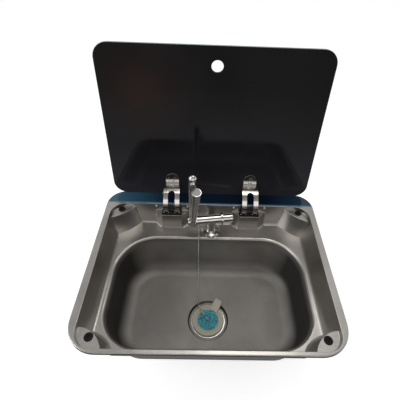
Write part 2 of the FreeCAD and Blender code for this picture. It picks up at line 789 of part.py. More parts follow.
def hinge_arm(side):
    """The forked arm: a band round the pivot, a tongue under the glass and cranks in to the eyes."""
    name = f"arm_{side}"
    sweep, start = f"{ARM_TAIL} - arm_crest", "arm_crest + lid_open"
    outer = rod(f"{name}_outer", BAND_OUTER, "arm_width", sweep, start)
    inner = rod(f"{name}_inner", BAND_INNER, "arm_width + steel")
    strap = cut(f"{name}_strap", outer, inner)
    tongue_root = f"({BAND_INNER} * cos(arm_crest + lid_open))"
    tongue_start = (f"-{TONGUE_TIP}", f"{TONGUE_TOP} - arm_steel")
    tongue_length = f"{TONGUE_TIP} + {tongue_root}"
    tongue = block(f"{name}_tongue", "tongue_width", tongue_length, "arm_steel", "-tongue_width / 2", *tongue_start)
    tip = cylinder(f"{name}_tip", "tongue_width / 2", "arm_steel", "0", *tongue_start)
    crank_reach = f"{BAND_OUTER} - fit_gap"
    crank = padded(
        f"{name}_crank",
        "YZ_Plane",
        [
            polar(crank_reach, f"lid_open + {ARM_TAIL} - crank_height"),
            polar("arm_radius - crank_depth", f"lid_open + {ARM_TAIL} - crank_rise"),
            polar("eye_radius", f"lid_open + {ARM_TAIL} - crank_rise - 85"),
            polar("eye_radius", f"lid_open + {ARM_TAIL} + 80"),
            polar(crank_reach, f"lid_open + {ARM_TAIL}"),
        ],
        "arm_width",
    )
    whole = fuse(f"{name}_whole", strap, tongue, tip, crank, rod(f"{name}_eye", "eye_radius", "arm_width"))
    beyond = "2 * arm_radius"
    gap = padded(
        f"{name}_gap",
        "YZ_Plane",
        [
            ("-eye_radius - steel", "eye_radius + steel"),
            (beyond, "eye_radius + steel"),
            (beyond, f"-({beyond})"),
            (f"-({beyond})", f"-({beyond})"),
            polar(beyond, ARCH),
            polar("2 * eye_radius", ARCH),
        ],
        LEG_GAP,
    )
    arch = cylinder(f"{name}_arch", f"{LEG_GAP} / 2", beyond, axis=X_AXIS, angle=f"{ARCH} - 90")
    bore = rod(f"{name}_bore", "pin_radius + pin_clearance", "arm_width + steel")
    screw_hole = ("0", f"-{SCREW_REACH}", f"{TONGUE_TOP} - 2 * arm_steel")
    hole = cylinder(f"{name}_hole", "screw_radius + pin_clearance", "3 * arm_steel", *screw_hole)
    openings = fuse(f"{name}_openings", gap, arch, bore, hole)
    return at_hinge(cut(f"{name}_form", whole, openings), side)


def glass_cushion(side):
    """The rubber between the tongue and the glass, with a sleeve through the glass's hole."""
    name = f"cushion_{side}"
    length = f"{TONGUE_TIP} + {BAND_INNER} * cos(arm_crest + lid_open)"
    start = (f"-{TONGUE_TIP}", TONGUE_TOP)
    sheet = block(f"{name}_sheet", "tongue_width", length, "cushion", "-tongue_width / 2", *start)
    tip = cylinder(f"{name}_tip", "tongue_width / 2", "cushion", "0", *start)
    spot = ("0", f"-{SCREW_REACH}")
    sleeve = cylinder(f"{name}_sleeve", "screw_radius + cushion", "cushion + lid_glass", *spot, TONGUE_TOP)
    bore = cylinder(f"{name}_bore", "screw_radius", "3 * lid_glass", *spot, "0")
    return at_hinge(cut(f"{name}_form", fuse(f"{name}_whole", sheet, tip, sleeve), bore), side)


def lid_screw(side):
    """The screw through the tongue and the glass, its domed head on the tongue."""
    length = "arm_steel + cushion + lid_glass + lid_nut_height - fit_gap"
    upright = screw(f"lid_screw_{side}", "screw_radius", length, "screw_head", "screw_dome")
    head_down = place(upright, "0", f"-{SCREW_REACH}", f"{TONGUE_TOP} - arm_steel", X_AXIS, "180")
    return at_hinge(group(f"lid_screw_{side}_set", head_down), side)


def lid_nut(side):
    """The flanged cap nut on the glass's outer face."""
    foot = f"({GLASS_UNDER} + lid_glass)"
    body = turned(
        f"lid_nut_{side}",
        [
            ("screw_radius", "0"),
            ("lid_nut_radius", "0"),
            ("lid_nut_radius", "lid_nut_height / 2"),
            ("lid_nut_radius - lid_nut_height / 2", "lid_nut_height"),
            ("0", "lid_nut_height"),
            ("0", "lid_nut_height - fit_gap / 2"),
            ("screw_radius", "lid_nut_height - fit_gap / 2"),
        ],
    )
    return at_hinge(group(f"lid_nut_{side}_set", place(body, "0", f"-{SCREW_REACH}", foot)), side)


def friction_washers(side):
    """The washers between the arm's cheeks and the bracket's ears."""
    rings = []
    for way, text in ((-1, f"-{CHEEK_GAP} - friction_washer / 2"), (1, f"{CHEEK_GAP} + friction_washer / 2")):
        disc = rod(f"washer_{side}_{way + 1}_disc", "washer_radius", "friction_washer")
        bore = rod(f"washer_{side}_{way + 1}_bore", "pin_radius + pin_clearance", "2 * friction_washer")
        rings.append(at_hinge(cut(f"washer_{side}_{way + 1}", disc, bore), side, text, False))
    return group(f"washers_{side}", *rings)


CHEEK_GAP = "(arm_width / 2 + side_gap)"
EAR_IN = "(arm_width / 2 + 2 * side_gap + friction_washer)"
EAR_OUT = f"({EAR_IN} + ear_steel)"


def wall_y(drop):
    """How far behind the pivot's own frame the sheet's rear face is, at a depth below the rim."""
    slope = "(recess_rear_draft / recess_depth)"
    return f"(pivot_inset - rim_rear_band + steel * 1.02 - ({drop}) * {slope})"


def hinge_bracket(side):
    """A plate on the rear wall's back with two ears that carry the pin."""
    name = f"bracket_{side}"

    def plate_corner(drop, depth):
        return (f"{wall_y(drop)} + {depth}", f"pivot_drop - ({drop})")

    plate = padded(
        f"{name}_plate",
        "YZ_Plane",
        [
            plate_corner("bracket_top", "pin_clearance"),
            plate_corner("bracket_top", "bracket_steel"),
            plate_corner("bracket_foot", "bracket_steel"),
            plate_corner("bracket_foot", "pin_clearance"),
        ],
        "2 * bracket_half",
    )
    ear_outline = [
        plate_corner("bracket_top", "bracket_steel / 2"),
        ("ear_tail", "pivot_drop - bracket_top"),
        ("ear_tail", "-ear_tail"),
        plate_corner("bracket_foot", "bracket_steel / 2"),
    ]
    ears = []
    for way, shift in (("a", f"-{EAR_IN} - ear_steel / 2"), ("b", f"{EAR_IN} + ear_steel / 2")):
        ears.append(place(padded(f"{name}_ear_{way}", "YZ_Plane", ear_outline, "ear_steel"), shift))
    bore = rod(f"{name}_bore", "pin_radius", f"2 * {EAR_OUT} + steel")
    holes = [bore]
    for way in ("-1", "1"):
        shift = (f"{way} * wall_screw_half", wall_y("wall_screw_drop"), "pivot_drop - wall_screw_drop")
        drill = cylinder(f"{name}_drill_{way[-2:]}", "wall_screw + fit_gap", "4 * bracket_steel")
        drill = place(drill, z="-2 * bracket_steel")
        holes.append(place(group(f"{name}_drilled{len(holes)}", drill), *shift, X_AXIS, f"90 deg - {WALL_LEAN}"))
    return at_hinge(cut(f"{name}_form", fuse(f"{name}_whole", plate, *ears), fuse(f"{name}_holes", *holes)), side,
                    "0", False)


def hinge_pin(side):
    """A shouldered pin through both ears, headed at each end."""
    name = f"pin_{side}"
    shaft = rod(f"{name}_shaft", "pin_radius", f"2 * ({EAR_OUT} + pin_head_height)")
    heads = []
    for way in ("-", ""):
        head = rod(f"{name}_head{len(heads)}", "pin_head", "pin_head_height")
        heads.append(place(group(f"{name}_headed{len(heads)}", head), f"{way}({EAR_OUT} + pin_head_height / 2)"))
    return at_hinge(fuse(f"{name}_form", shaft, *heads), side, "0", False)


def slot_insert(side):
    """The black lining of a boss's slot: a flange on the sheet and a tail through it."""
    name = f"insert_{side}"
    lining = "(slot_width + 2 * insert_wall - 2 * pin_clearance)"
    lining_long = "(slot_length + 2 * insert_wall - 2 * pin_clearance)"
    flange_wide = f"({lining} + insert_flange)"
    flange_long = f"({lining_long} + insert_flange)"
    flange = block(f"{name}_flange", flange_long, flange_wide, "insert_height", f"-{flange_long} / 2",
                   f"-{flange_wide} / 2")
    depth = "(insert_tail + steel)"
    tail = block(f"{name}_tail", lining_long, lining, depth, f"-{lining_long} / 2", f"-{lining} / 2", f"-{depth}")
    mouth = block(f"{name}_mouth", "slot_length", "slot_width", f"4 * {depth}", "-slot_length / 2", "-slot_width / 2",
                  f"-2 * {depth}")
    form = cut(f"{name}_form", fuse(f"{name}_whole", flange, tail), mouth)
    return place(form, HINGES[side], f"rim_width / 2 - rim_rear_band - {SLOT_INSET}", "rim_top - boss_drop")


def wall_fixings():
    """The screws that hold the brackets to the rear wall, and their nuts."""
    screws, nuts = [], []
    for side, hinge in HINGES.items():
        for way in ("-", "+"):
            tag = f"{side}_{len(screws)}"
            spot = (
                f"{hinge} {way} wall_screw_half",
                "rim_width / 2 - rim_rear_band - wall_screw_drop * recess_rear_draft / recess_depth",
                "rim_top - wall_screw_drop",
            )
            tilt = (X_AXIS, f"90 deg - {WALL_LEAN}")
            fixing = screw(f"wall_screw_{tag}", "wall_screw", "wall_screw_length", "wall_screw_head", "wall_screw_dome")
            screws.append(place(fixing, *spot, *tilt))
            seat = "-(steel + bracket_steel + wall_nut_height)"
            solid = hexagon(f"wall_nut_{tag}_hex", "wall_nut", "wall_nut_height", z=seat)
            bore = cylinder(f"wall_nut_{tag}_bore", "wall_screw + pin_clearance", "3 * wall_nut_height", z=f"2 * {seat}")
            nuts.append(place(cut(f"wall_nut_{tag}", solid, bore), *spot, *tilt))
    return group("wall_screw_set", *screws), group("wall_nut_set", *nuts)


for side in HINGES:
    keep(f"hinge_arm_{side}", hinge_arm(side))
    keep(f"glass_cushion_{side}", glass_cushion(side))
    keep(f"friction_washers_{side}", friction_washers(side))
    keep(f"hinge_bracket_{side}", hinge_bracket(side))
    keep(f"hinge_pin_{side}", hinge_pin(side))
    keep(f"slot_insert_{side}", slot_insert(side))
keep("lid_screws", group("lid_screw_sets", *[lid_screw(side) for side in HINGES]))
keep("lid_cap_nuts", group("lid_nut_sets", *[lid_nut(side) for side in HINGES]))
wall_screws, wall_nuts = wall_fixings()
keep("wall_screws", wall_screws)
keep("wall_nuts", wall_nuts)

# ---------------------------------------------------------------- the tap
# Tap pieces are drawn in the tap's own frame: x along the barrel, -y towards the bowl, z up from the recess floor.

AXIS = "tap_axis"
HEAD_RIGHT = "(barrel_left + head_gap)"
LEVER_AXIS = V(size("lever_lean"), size("lever_side_lean"), 0)
LEVER_TILT = "sqrt(lever_lean ^ 2 + lever_side_lean ^ 2)"
LEVER_PIVOT = ("-lever_x", "-lever_forward", f"{AXIS} + lever_rise")


def on_tap(target):
    return place(target, "tap_x", TAP_Y, FLOOR, Z_AXIS, "tap_yaw")


def along_barrel(name, radius, start, end):
    """A round rod on the barrel's axis from x = start to x = end."""
    return cylinder(name, radius, f"({end}) - ({start})", start, "0", AXIS, Y_AXIS)


def along_lever(name, radius, start, length, top=None):
    """A round or tapered rod on the lever's axis, from a distance past its pivot."""
    if top is None:
        piece = cylinder(f"{name}_rod", radius, length, z=start)
    else:
        piece = cone(f"{name}_rod", radius, top, length, z=start)
    return place(group(name, piece), *LEVER_PIVOT, LEVER_AXIS, LEVER_TILT)


def on_spout(x, distance):
    """A point of the spout's axis, at a distance up from the barrel's height."""
    return (f"-({x})", f"spout_set_back - ({distance}) * sin(spout_lean)", f"{AXIS} + ({distance}) * cos(spout_lean)")


def tap_body():
    """Column, shank with its run-out groove, barrel, and the spigot the head turns on, cast as one."""
    end, groove_foot = "-shank_length", "-(groove_drop + groove_width)"
    column = turned("column", [
        ("0", end),
        ("column_radius - groove_depth", end),
        ("column_radius", f"{end} + groove_depth"),
        ("column_radius", groove_foot),
        ("column_radius - groove_depth", groove_foot),
        ("column_radius - groove_depth", "-groove_drop"),
        ("column_radius", "-groove_drop"),
        ("column_radius", AXIS),
        ("0", AXIS),
    ])
    barrel = along_barrel("barrel", "barrel_radius", "-barrel_left", "barrel_right")
    spigot_end = "-(barrel_left + spigot_length)"
    spigot = along_barrel("spigot", "spigot_radius", spigot_end, "0")
    waterway = cylinder("waterway", "column_bore", f"shank_length + {AXIS}", z="-shank_length")
    chamber = along_barrel("chamber", "barrel_bore", "-column_radius", "barrel_right")
    feed = along_barrel("feed", "spigot_bore", spigot_end, "0")
    grooves = [ring_groove(k) for k in range(2)]
    return cut("tap_body_form", fuse("tap_casting", column, barrel, spigot),
               fuse("tap_waterways", waterway, chamber, feed, *grooves))


RING_FLOOR = "(spigot_radius + pin_clearance - 2 * ring_section)"


def ring_x(number):
    return f"-(barrel_left + ring_first + {number} * ring_pitch)"


def ring_groove(number):
    """A square groove round the spigot for one seal ring."""
    name, ends = f"groove_{number}", (f"{ring_x(number)} - ring_groove", f"{ring_x(number)} + ring_groove")
    return cut(name, along_barrel(f"{name}_outside", "spigot_radius + steel", *ends),
               along_barrel(f"{name}_floor", RING_FLOOR, *ends))


def spout():
    """The head on the spigot with its riser, its domed tip and its outlet boss, bored through."""
    head_left = f"-({HEAD_RIGHT} + head_length)"
    head = along_barrel("head", "head_radius", head_left, f"-{HEAD_RIGHT}")
    lean = (X_AXIS, "spout_lean")
    root = on_spout("spout_x", "0")
    tip = on_spout("spout_x", "spout_length")
    outlet = on_spout("spout_x", "spout_length - outlet_below_tip")
    riser = cylinder("riser", "spout_radius", "spout_length", *root, *lean)
    heel = ball("riser_heel", "spout_radius", *root)
    cap = ball("riser_tip", "spout_radius", *tip)
    boss_out = cylinder("outlet_boss", "outlet_radius", "outlet_length", *outlet, X_AXIS, "outlet_pitch")
    post = along_lever("lever_post", "lever_ball", f"-({POST_DEPTH})", f"{POST_DEPTH} - lever_ball - fit_gap")
    heel_spot = (
        "-lever_x",
        f"-lever_forward + {POST_DEPTH} * sin(lever_lean)",
        f"{AXIS} + lever_rise - {POST_DEPTH} * cos(lever_lean)",
    )
    post_heel = ball("lever_post_heel", "lever_ball", *heel_spot)
    solid = fuse("spout_solid", head, riser, heel, cap, boss_out, post, post_heel)
    socket = along_barrel("socket", "spigot_radius + pin_clearance",
                          "-(barrel_left + spigot_length + fit_gap)", f"-{HEAD_RIGHT} + steel")
    riser_bore = cylinder("riser_bore", "spout_bore", "spout_length", *root, *lean)
    outlet_bore = cylinder("outlet_bore", "aerator_radius", "2 * outlet_length", *outlet, X_AXIS, "outlet_pitch")
    stem_hole = along_lever("stem_hole", "stem_bore", "-cartridge_top", "cartridge_top")
    pocket = along_lever("cartridge_pocket", "cartridge_radius + pin_clearance",
                         "-(cartridge_top + cartridge_length)", "cartridge_length")
    return cut("spout_form", solid, fuse("spout_hollows", socket, riser_bore, outlet_bore, stem_hole, pocket))


POST_DEPTH = "(lever_rise / cos(lever_lean))"


def aerator():
    """The mesh outlet insert, a drilled disc at the boss's mouth."""
    spot = on_spout("spout_x", "spout_length - outlet_below_tip")
    start = "outlet_length - aerator_length"
    disc = cylinder("aerator_disc", "aerator_radius", "aerator_length", z=start)
    holes = []
    for k in range(6):
        turn = 60 * k
        hole_spot = (f"aerator_radius * 0.6 * cos({turn})", f"aerator_radius * 0.6 * sin({turn})", "0")
        holes.append(cylinder(f"aerator_hole_{k}", "aerator_radius * 0.18", "2 * outlet_length", *hole_spot))
    drilled = cut("aerator_drilled", disc, fuse("aerator_holes", *holes))
    return place(group("aerator_form", drilled), *spot, X_AXIS, "outlet_pitch")


def lever():
    """The flared lever: a ball on its post, a tapered grip with a dished end, and the stem below."""
    joint = ball("lever_joint", "lever_ball", *LEVER_PIVOT)
    grip = along_lever("lever_grip", "lever_ball", "0", "lever_length", "lever_end")
    stem = along_lever("lever_stem", "stem_radius", "-stem_length", "stem_length")
    dish = along_lever("lever_dish", "lever_cap + pin_clearance", "lever_length - lever_cap_height", "lever_ball")
    return cut("lever_form", fuse("lever_solid", joint, grip, stem), dish)


def under_nut():
    seat = "-(steel + under_rubber + under_steel + nut_height)"
    solid = hexagon("back_nut_hex", "nut_corner", "nut_height", z=seat)
    bore = cylinder("back_nut_bore", "column_radius + pin_clearance", "3 * nut_height", z=f"2 * {seat}")
    return cut("back_nut_form", solid, bore)


def ring_outline(inner, outer, foot, top):
    return [(inner, foot), (outer, foot), (outer, top), (inner, top)]


def end_knob():
    """The rounded cap that closes the barrel's right end, with its plug inside the barrel."""
    grip = along_barrel("knob_grip", "knob_radius", "barrel_right + collar_width", f"{KNOB_END} - head_round")
    edge = along_barrel("knob_edge", "knob_radius - head_round", "barrel_right + collar_width", KNOB_END)
    bead = torus("knob_bead", "knob_radius - head_round", "head_round", f"{KNOB_END} - head_round", "0", AXIS, Y_AXIS)
    plug = along_barrel("knob_plug", "barrel_bore - pin_clearance", "barrel_right - knob_plug", "barrel_right + collar_width")
    return fuse("knob_form", grip, edge, bead, plug)


KNOB_END = "(barrel_right + collar_width + knob_length)"


def collar():
    ring = along_barrel("collar_ring", "collar_radius", "barrel_right", "barrel_right + collar_width")
    bore = along_barrel("collar_bore", "barrel_bore", "0", "2 * barrel_right")
    return cut("collar_form", ring, bore)


def chain_anchor():
    """The eyelet pin under the barrel that the plug's chain hangs from."""
    top = f"{AXIS} - barrel_radius"
    pin = cylinder("anchor_pin", "anchor_radius", "anchor_length + barrel_radius / 2", "-anchor_x", "0",
                   f"{top} - anchor_length")
    cavity = along_barrel("anchor_saddle", "barrel_radius", "-2 * anchor_x", "0")
    return cut("anchor_form", pin, cavity)


keep("tap_body", on_tap(tap_body()))
keep("spout", on_tap(spout()))
keep("aerator", on_tap(group("aerator_placed", aerator())))
keep("lever", on_tap(lever()))
lever_cap = along_lever("lever_cap_disc", "lever_cap", "lever_length - lever_cap_height",
                        "lever_cap_height * 0.8")
keep("lever_cap", on_tap(group("lever_cap_placed", lever_cap)))
cartridge = along_lever("cartridge_form", "cartridge_radius", "-(cartridge_top + cartridge_length) + fit_gap",
                        "cartridge_length - fit_gap")
keep("cartridge", on_tap(group("cartridge_placed", cartridge)))
rings = [torus(f"o_ring_{k}", f"{RING_FLOOR} + ring_section", "ring_section - pin_clearance", ring_x(k), "0",
               AXIS, Y_AXIS) for k in range(2)]
keep("spout_o_rings", on_tap(group("o_ring_set", *rings)))
keep("barrel_collar", on_tap(collar()))
keep("barrel_end_knob", on_tap(end_knob()))
keep("chain_anchor", on_tap(chain_anchor()))
flange = turned("flange_form", [
    ("column_radius + pin_clearance", "tap_gasket"),
    ("flange_radius - fit_gap", "tap_gasket"),
    ("flange_radius", "tap_gasket + steel"),
    ("(flange_radius + column_radius) / 2 + steel", "flange_height * 0.75"),
    ("column_radius + steel", "flange_height"),
    ("column_radius + pin_clearance", "flange_height"),
])
keep("tap_flange", on_tap(flange))
SHANK_FIT = "column_radius + pin_clearance"
gasket = ring_outline(SHANK_FIT, "flange_radius - 3 * steel", "0", "tap_gasket")
keep("tap_gasket", on_tap(turned("gasket_form", gasket)))
rubber = ring_outline(SHANK_FIT, "under_washer", "-steel - under_rubber", "-steel")
keep("tap_rubber_washer", on_tap(turned("under_rubber_form", rubber)))
washer_top = "-steel - under_rubber"
steel_ring = ring_outline(SHANK_FIT, "under_washer", f"{washer_top} - under_steel", washer_top)
keep("tap_steel_washer", on_tap(turned("under_steel_form", steel_ring)))
keep("tap_back_nut", on_tap(under_nut()))

# ---------------------------------------------------------------- the waste and the plug
# These are drawn about the drain's centre, with z = 0 on the drain bed.


def on_drain(target, lift="0"):
    return place(target, "0", DRAIN_Y, f"{DRAIN_Z} + {lift}")


def waste_flange():
    """The flange on the drain bed, its throat, and the strainer plate across the throat's foot."""
    outline = [
        ("waste_throat", "waste_wall"),
        ("waste_flange", "waste_wall"),
        ("waste_flange", "0"),
        ("waste_throat + waste_wall", "0"),
        ("waste_throat + waste_wall", "-waste_length"),
        ("waste_screw + fit_gap", "-waste_length"),
        ("waste_screw + fit_gap", "waste_wall - waste_length"),
        ("waste_throat", "waste_wall - waste_length"),
    ]
    holes = []
    rings = (("strainer_ring", 8, "strainer_hole"), ("strainer_inner_ring", 6, "strainer_inner_hole"))
    for ring, count, hole in rings:
        for k in range(count):
            turn = 360 * k / count
            spot = (f"{ring} * cos({turn})", f"{ring} * sin({turn})", "-2 * waste_length")
            holes.append(cylinder(f"strainer_{count}_{k}", hole, "2 * waste_length", *spot))
    return cut("waste_flange_form", turned("waste_flange_body", outline), fuse("strainer_holes", *holes))


def waste_cup():
    """The cup under the drain with its outlet pipe, and the bar that the long screw pulls on."""
    top = "(-steel - waste_gasket)"
    foot = f"({top} - cup_length)"
    bottom = f"({foot} - outlet_pipe_length)"
    inner = "waste_throat + waste_wall + fit_gap"
    shell = turned("waste_cup_shell", [
        (inner, top),
        ("cup_radius", top),
        ("cup_radius", f"{top} - cup_lip"),
        (f"{inner} + waste_wall", f"{top} - 2 * cup_lip"),
        (f"{inner} + waste_wall", f"{foot} + cup_lip"),
        ("outlet_pipe", foot),
        ("outlet_pipe", bottom),
        ("outlet_pipe - waste_wall", bottom),
        ("outlet_pipe - waste_wall", f"{foot} + waste_wall"),
        (inner, f"{foot} + cup_lip + waste_wall"),
    ])
    bar_z = f"{foot} + cup_lip"
    bar = block("waste_bar", f"2 * ({inner}) + waste_wall", "spider_width", "spider_height",
                f"-({inner}) - waste_wall / 2", "-spider_width / 2", bar_z)
    thread = cylinder("waste_thread", "waste_screw", "4 * spider_height", z=f"{bar_z} - spider_height")
    return cut("waste_cup_form", fuse("waste_cup_solid", shell, bar), thread)


def plug():
    """The stopper: a ridged ring round a shallow dish, on a drafted stem that fills the throat."""
    return turned("plug_form", [
        ("0", "-plug_stem_length"),
        (f"{PLUG_STEM} - waste_wall", "-plug_stem_length"),
        (PLUG_STEM, "0"),
        ("plug_radius", "0"),
        ("plug_radius", "plug_rim / 2"),
        ("plug_radius - plug_rim / 2", "plug_rim"),
        ("plug_radius - plug_rim * 1.5", "plug_rim"),
        ("plug_radius - plug_rim * 2", "plug_rim - plug_dish / 2"),
        ("plug_film_radius + plug_dish * 2", "plug_rim - plug_dish / 2"),
        ("plug_film_radius + plug_dish * 1.5", "plug_rim"),
        ("plug_film_radius + plug_dish", "plug_rim"),
        ("plug_film_radius + plug_dish / 2", "plug_rim - plug_dish"),
        ("0", "plug_rim - plug_dish"),
    ])


PLUG_LIFT = "(waste_wall + fit_gap)"
DISH = "(plug_rim - plug_dish)"


def plug_eye():
    """The stem on the plug's middle, with the ring that the chain's last link goes through."""
    ring_z = f"{DISH} + eye_stem_length + eye_ring"
    stem = cylinder("eye_stem", "eye_stem", "eye_stem_length + eye_wire / 2", z=DISH)
    ring = torus("eye_ring", "eye_ring", "eye_wire", z=ring_z, axis=X_AXIS)
    return fuse("plug_eye_form", stem, ring)


keep("waste_flange", on_drain(waste_flange()))
gasket_top = "-steel"
gasket_outline = ring_outline("waste_throat + waste_wall + fit_gap", "waste_flange", "-steel - waste_gasket", "-steel")
keep("waste_gasket", on_drain(turned("waste_gasket_form", gasket_outline)))
keep("waste_cup", on_drain(waste_cup()))
long_screw = screw("waste_long_screw", "waste_screw", "waste_screw_length", "waste_screw_head", "waste_screw_dome")
keep("waste_screw", on_drain(long_screw, "(waste_wall - waste_length)"))
keep("plug", on_drain(plug(), PLUG_LIFT))
film_ring = ring_outline("eye_stem + fit_gap", "plug_film_radius", DISH, f"{DISH} + film")
keep("plug_film", on_drain(turned("plug_film_form", film_ring), PLUG_LIFT))
keep("plug_eye", on_drain(plug_eye(), PLUG_LIFT))

# ---------------------------------------------------------------- the chain

# The chain's route in the model's frame: from the eyelet under the barrel, over the bowl's mouth, down its rear
# wall and across its floor to the ring on the plug.
CHAIN_ROUTE = [
    (-22.3, 95.9, -21.9),
    (-22.4, 86.6, -33.6),
    (-22.6, 75.4, -46.6),
    (-22.8, 73.2, -64),
    (-22.8, 71.2, -84),
    (-22.8, 68.4, -103),
    (-22.7, 60.4, -121),
    (-22.6, 45.0, -131.6),
    (-22.4, 26, -133.0),
    (-22.0, 6, -133.3),
    (-20.8, -14, -133.2),
    (-15.6, -31, -132.6),
    (-2.2, -46.4, -130.8),
]


def cord_tube(points, radius):
    """A round tube along straight runs joined by arcs as large as the runs allow."""
    corners = [V(*p) for p in points]
    edges, start, bends = [], corners[0], []
    for before, corner, after in zip(corners, corners[1:], corners[2:]):
        back, ahead = before - corner, after - corner
        reach = 0.45 * min(back.Length, ahead.Length)
        back.normalize()
        ahead.normalize()
        entry, leave = corner + back * reach, corner + ahead * reach
        half_turn = (math.pi - back.getAngle(ahead)) / 2
        bend = reach / math.tan(half_turn)
        bends.append(bend)
        inward = (back + ahead).normalize()
        middle = corner + inward * (math.hypot(bend, reach) - bend)
        edges.append(Part.LineSegment(start, entry).toShape())
        edges.append(Part.Arc(entry, middle, leave).toShape())
        start = leave
    edges.append(Part.LineSegment(start, corners[-1]).toShape())
    path = Part.Wire(edges)
    circle = Part.Wire(Part.Circle(corners[0], corners[1] - corners[0], radius).toShape())
    tube = path.makePipeShell([circle], True, False)
    ratio = tube.Volume / (path.Length * math.pi * radius ** 2)
    print(f"chain length {path.Length:.1f}, tightest bend {min(bends):.1f}, volume ratio {ratio:.4f}")
    return tube


keep("plug_chain", shaped("plug_chain_form", cord_tube(CHAIN_ROUTE, size("chain_radius"))))

# ---------------------------------------------------------------- checks and export

doc.recompute()
for item in doc.Objects:
    if "Invalid" in item.State or "Error" in item.State:
        raise RuntimeError(f"{item.Label}: {item.State}")
for name, piece in parts.items():
    if piece.Shape.isNull() or not piece.Shape.isValid() or not piece.Shape.Solids:
        raise RuntimeError(f"{name} has no valid solid")

os.makedirs("parts", exist_ok=True)
for name, piece in parts.items():
    piece.Shape.exportStep(f"parts/{name}.step")
print(f"{len(parts)} parts written")
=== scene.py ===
# %% [markdown]
# # A caravan sink with a glass lid, finished in Blender
#
# The CAD model gives every piece its size and place. This script loads it, sets the camera and the light,
# and then gives each piece the surface that it has on the real sink: satin pressed steel, polished strap
# hinges, chromed brass, black safety glass, rubber, and the thin film that is still on a new product.
# What is too fine for the CAD model, such as the bead chain and the sockets in the screws, is modelled here.

# %% Load the model
import math
import json

import bmesh
import bpy
from mathutils import Matrix, Vector, noise


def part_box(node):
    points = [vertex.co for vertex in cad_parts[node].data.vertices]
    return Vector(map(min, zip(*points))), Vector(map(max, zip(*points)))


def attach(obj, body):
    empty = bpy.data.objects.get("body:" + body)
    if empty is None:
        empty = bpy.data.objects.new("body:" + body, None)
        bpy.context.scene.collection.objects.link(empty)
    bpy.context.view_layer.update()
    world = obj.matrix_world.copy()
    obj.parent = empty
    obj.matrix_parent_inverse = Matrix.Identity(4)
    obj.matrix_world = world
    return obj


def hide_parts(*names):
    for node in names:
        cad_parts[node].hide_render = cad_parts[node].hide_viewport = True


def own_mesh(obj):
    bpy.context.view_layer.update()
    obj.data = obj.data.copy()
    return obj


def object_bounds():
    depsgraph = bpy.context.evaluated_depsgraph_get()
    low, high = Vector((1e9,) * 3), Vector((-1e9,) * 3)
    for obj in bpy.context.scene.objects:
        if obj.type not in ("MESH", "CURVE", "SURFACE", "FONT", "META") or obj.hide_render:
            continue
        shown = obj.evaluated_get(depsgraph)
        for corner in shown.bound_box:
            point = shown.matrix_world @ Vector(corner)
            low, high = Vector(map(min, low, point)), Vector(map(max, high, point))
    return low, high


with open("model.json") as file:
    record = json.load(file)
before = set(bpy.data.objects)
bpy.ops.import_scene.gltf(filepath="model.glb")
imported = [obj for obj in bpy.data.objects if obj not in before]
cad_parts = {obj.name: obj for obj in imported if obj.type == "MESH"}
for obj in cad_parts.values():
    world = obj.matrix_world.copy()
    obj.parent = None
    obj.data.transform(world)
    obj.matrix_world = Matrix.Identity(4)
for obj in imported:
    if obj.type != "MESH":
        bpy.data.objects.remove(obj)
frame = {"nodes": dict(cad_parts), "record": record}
nodes = frame["nodes"]
cad_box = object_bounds()
slot_of = {part["node"]: part["material_slot"] for part in frame["record"]["subparts"]}

# %% [markdown]
# ## The camera
#
# A camera can be placed by eye, or worked out from straight lines whose real sizes are known. The second is
# used here: the rim's corners and the lid's edges gave the focal length, the place and three angles.
# The rows of a rotation matrix are the camera's right, down and forward directions, and Blender's camera
# looks along its own -Z with +Y up, so down and forward change sign.

# %% Place the camera
FOCAL_PX, FRAME_PX, SENSOR = 326.46, 400, 36
CENTRE_PX = (212.99, 179.23)
PITCH, YAW, ROLL = 0.7477, 0.0311, 0.0474
EYE = Vector((-0.01189, -0.32730, 0.49669))

look = Matrix((
    (1, 0, 0),
    (0, -math.sin(PITCH), -math.cos(PITCH)),
    (0, math.cos(PITCH), -math.sin(PITCH)),
))
rows = Matrix.Rotation(ROLL, 3, "Z") @ look @ Matrix.Rotation(YAW, 3, "Z")

camera_data = bpy.data.cameras.new("camera")
camera_data.sensor_width = SENSOR
camera_data.lens = FOCAL_PX / FRAME_PX * SENSOR
camera_data.shift_x = (FRAME_PX / 2 - CENTRE_PX[0]) / FRAME_PX
camera_data.shift_y = (CENTRE_PX[1] - FRAME_PX / 2) / FRAME_PX
camera_data.clip_start = 0.02
camera = bpy.data.objects.new("camera", camera_data)
bpy.context.scene.collection.objects.link(camera)
turned = Matrix((rows[0], -rows[1], -rows[2])).transposed()
camera.matrix_world = Matrix.Translation(EYE) @ turned.to_4x4()
bpy.context.scene.camera = camera
print(f"lens {camera_data.lens:.2f} mm")

# %% [markdown]
# ## Floor, sky and lamps
#
# Polished metal has no look of its own: it shows the room. A room that is white all round makes chrome look
# like paper, so this one is white at the horizon and behind the sink, and greyer overhead and on the user's
# side, with three soft lamps as the bright shapes. The camera itself always sees white.

# %% The floor
FLOOR_GAP, FLOOR_HALF = 0.004, 6
FLOOR_Z = cad_box[0].z - FLOOR_GAP


def link_new(name, mesh):
    """A new object at the origin that holds a mesh."""
    thing = bpy.data.objects.new(name, mesh)
    bpy.context.scene.collection.objects.link(thing)
    return thing


def mesh_from(name, bm, smooth=True):
    """Turns a finished bmesh into a mesh, shaded smooth or flat."""
    mesh = bpy.data.meshes.new(name)
    for face in bm.faces:
        face.smooth = smooth
    bm.to_mesh(mesh)
    bm.free()
    return mesh


bm = bmesh.new()
bmesh.ops.create_grid(bm, x_segments=1, y_segments=1, size=FLOOR_HALF,
                      matrix=Matrix.Translation((0, 0, FLOOR_Z)))
floor = link_new("floor", mesh_from("floor", bm, smooth=False))

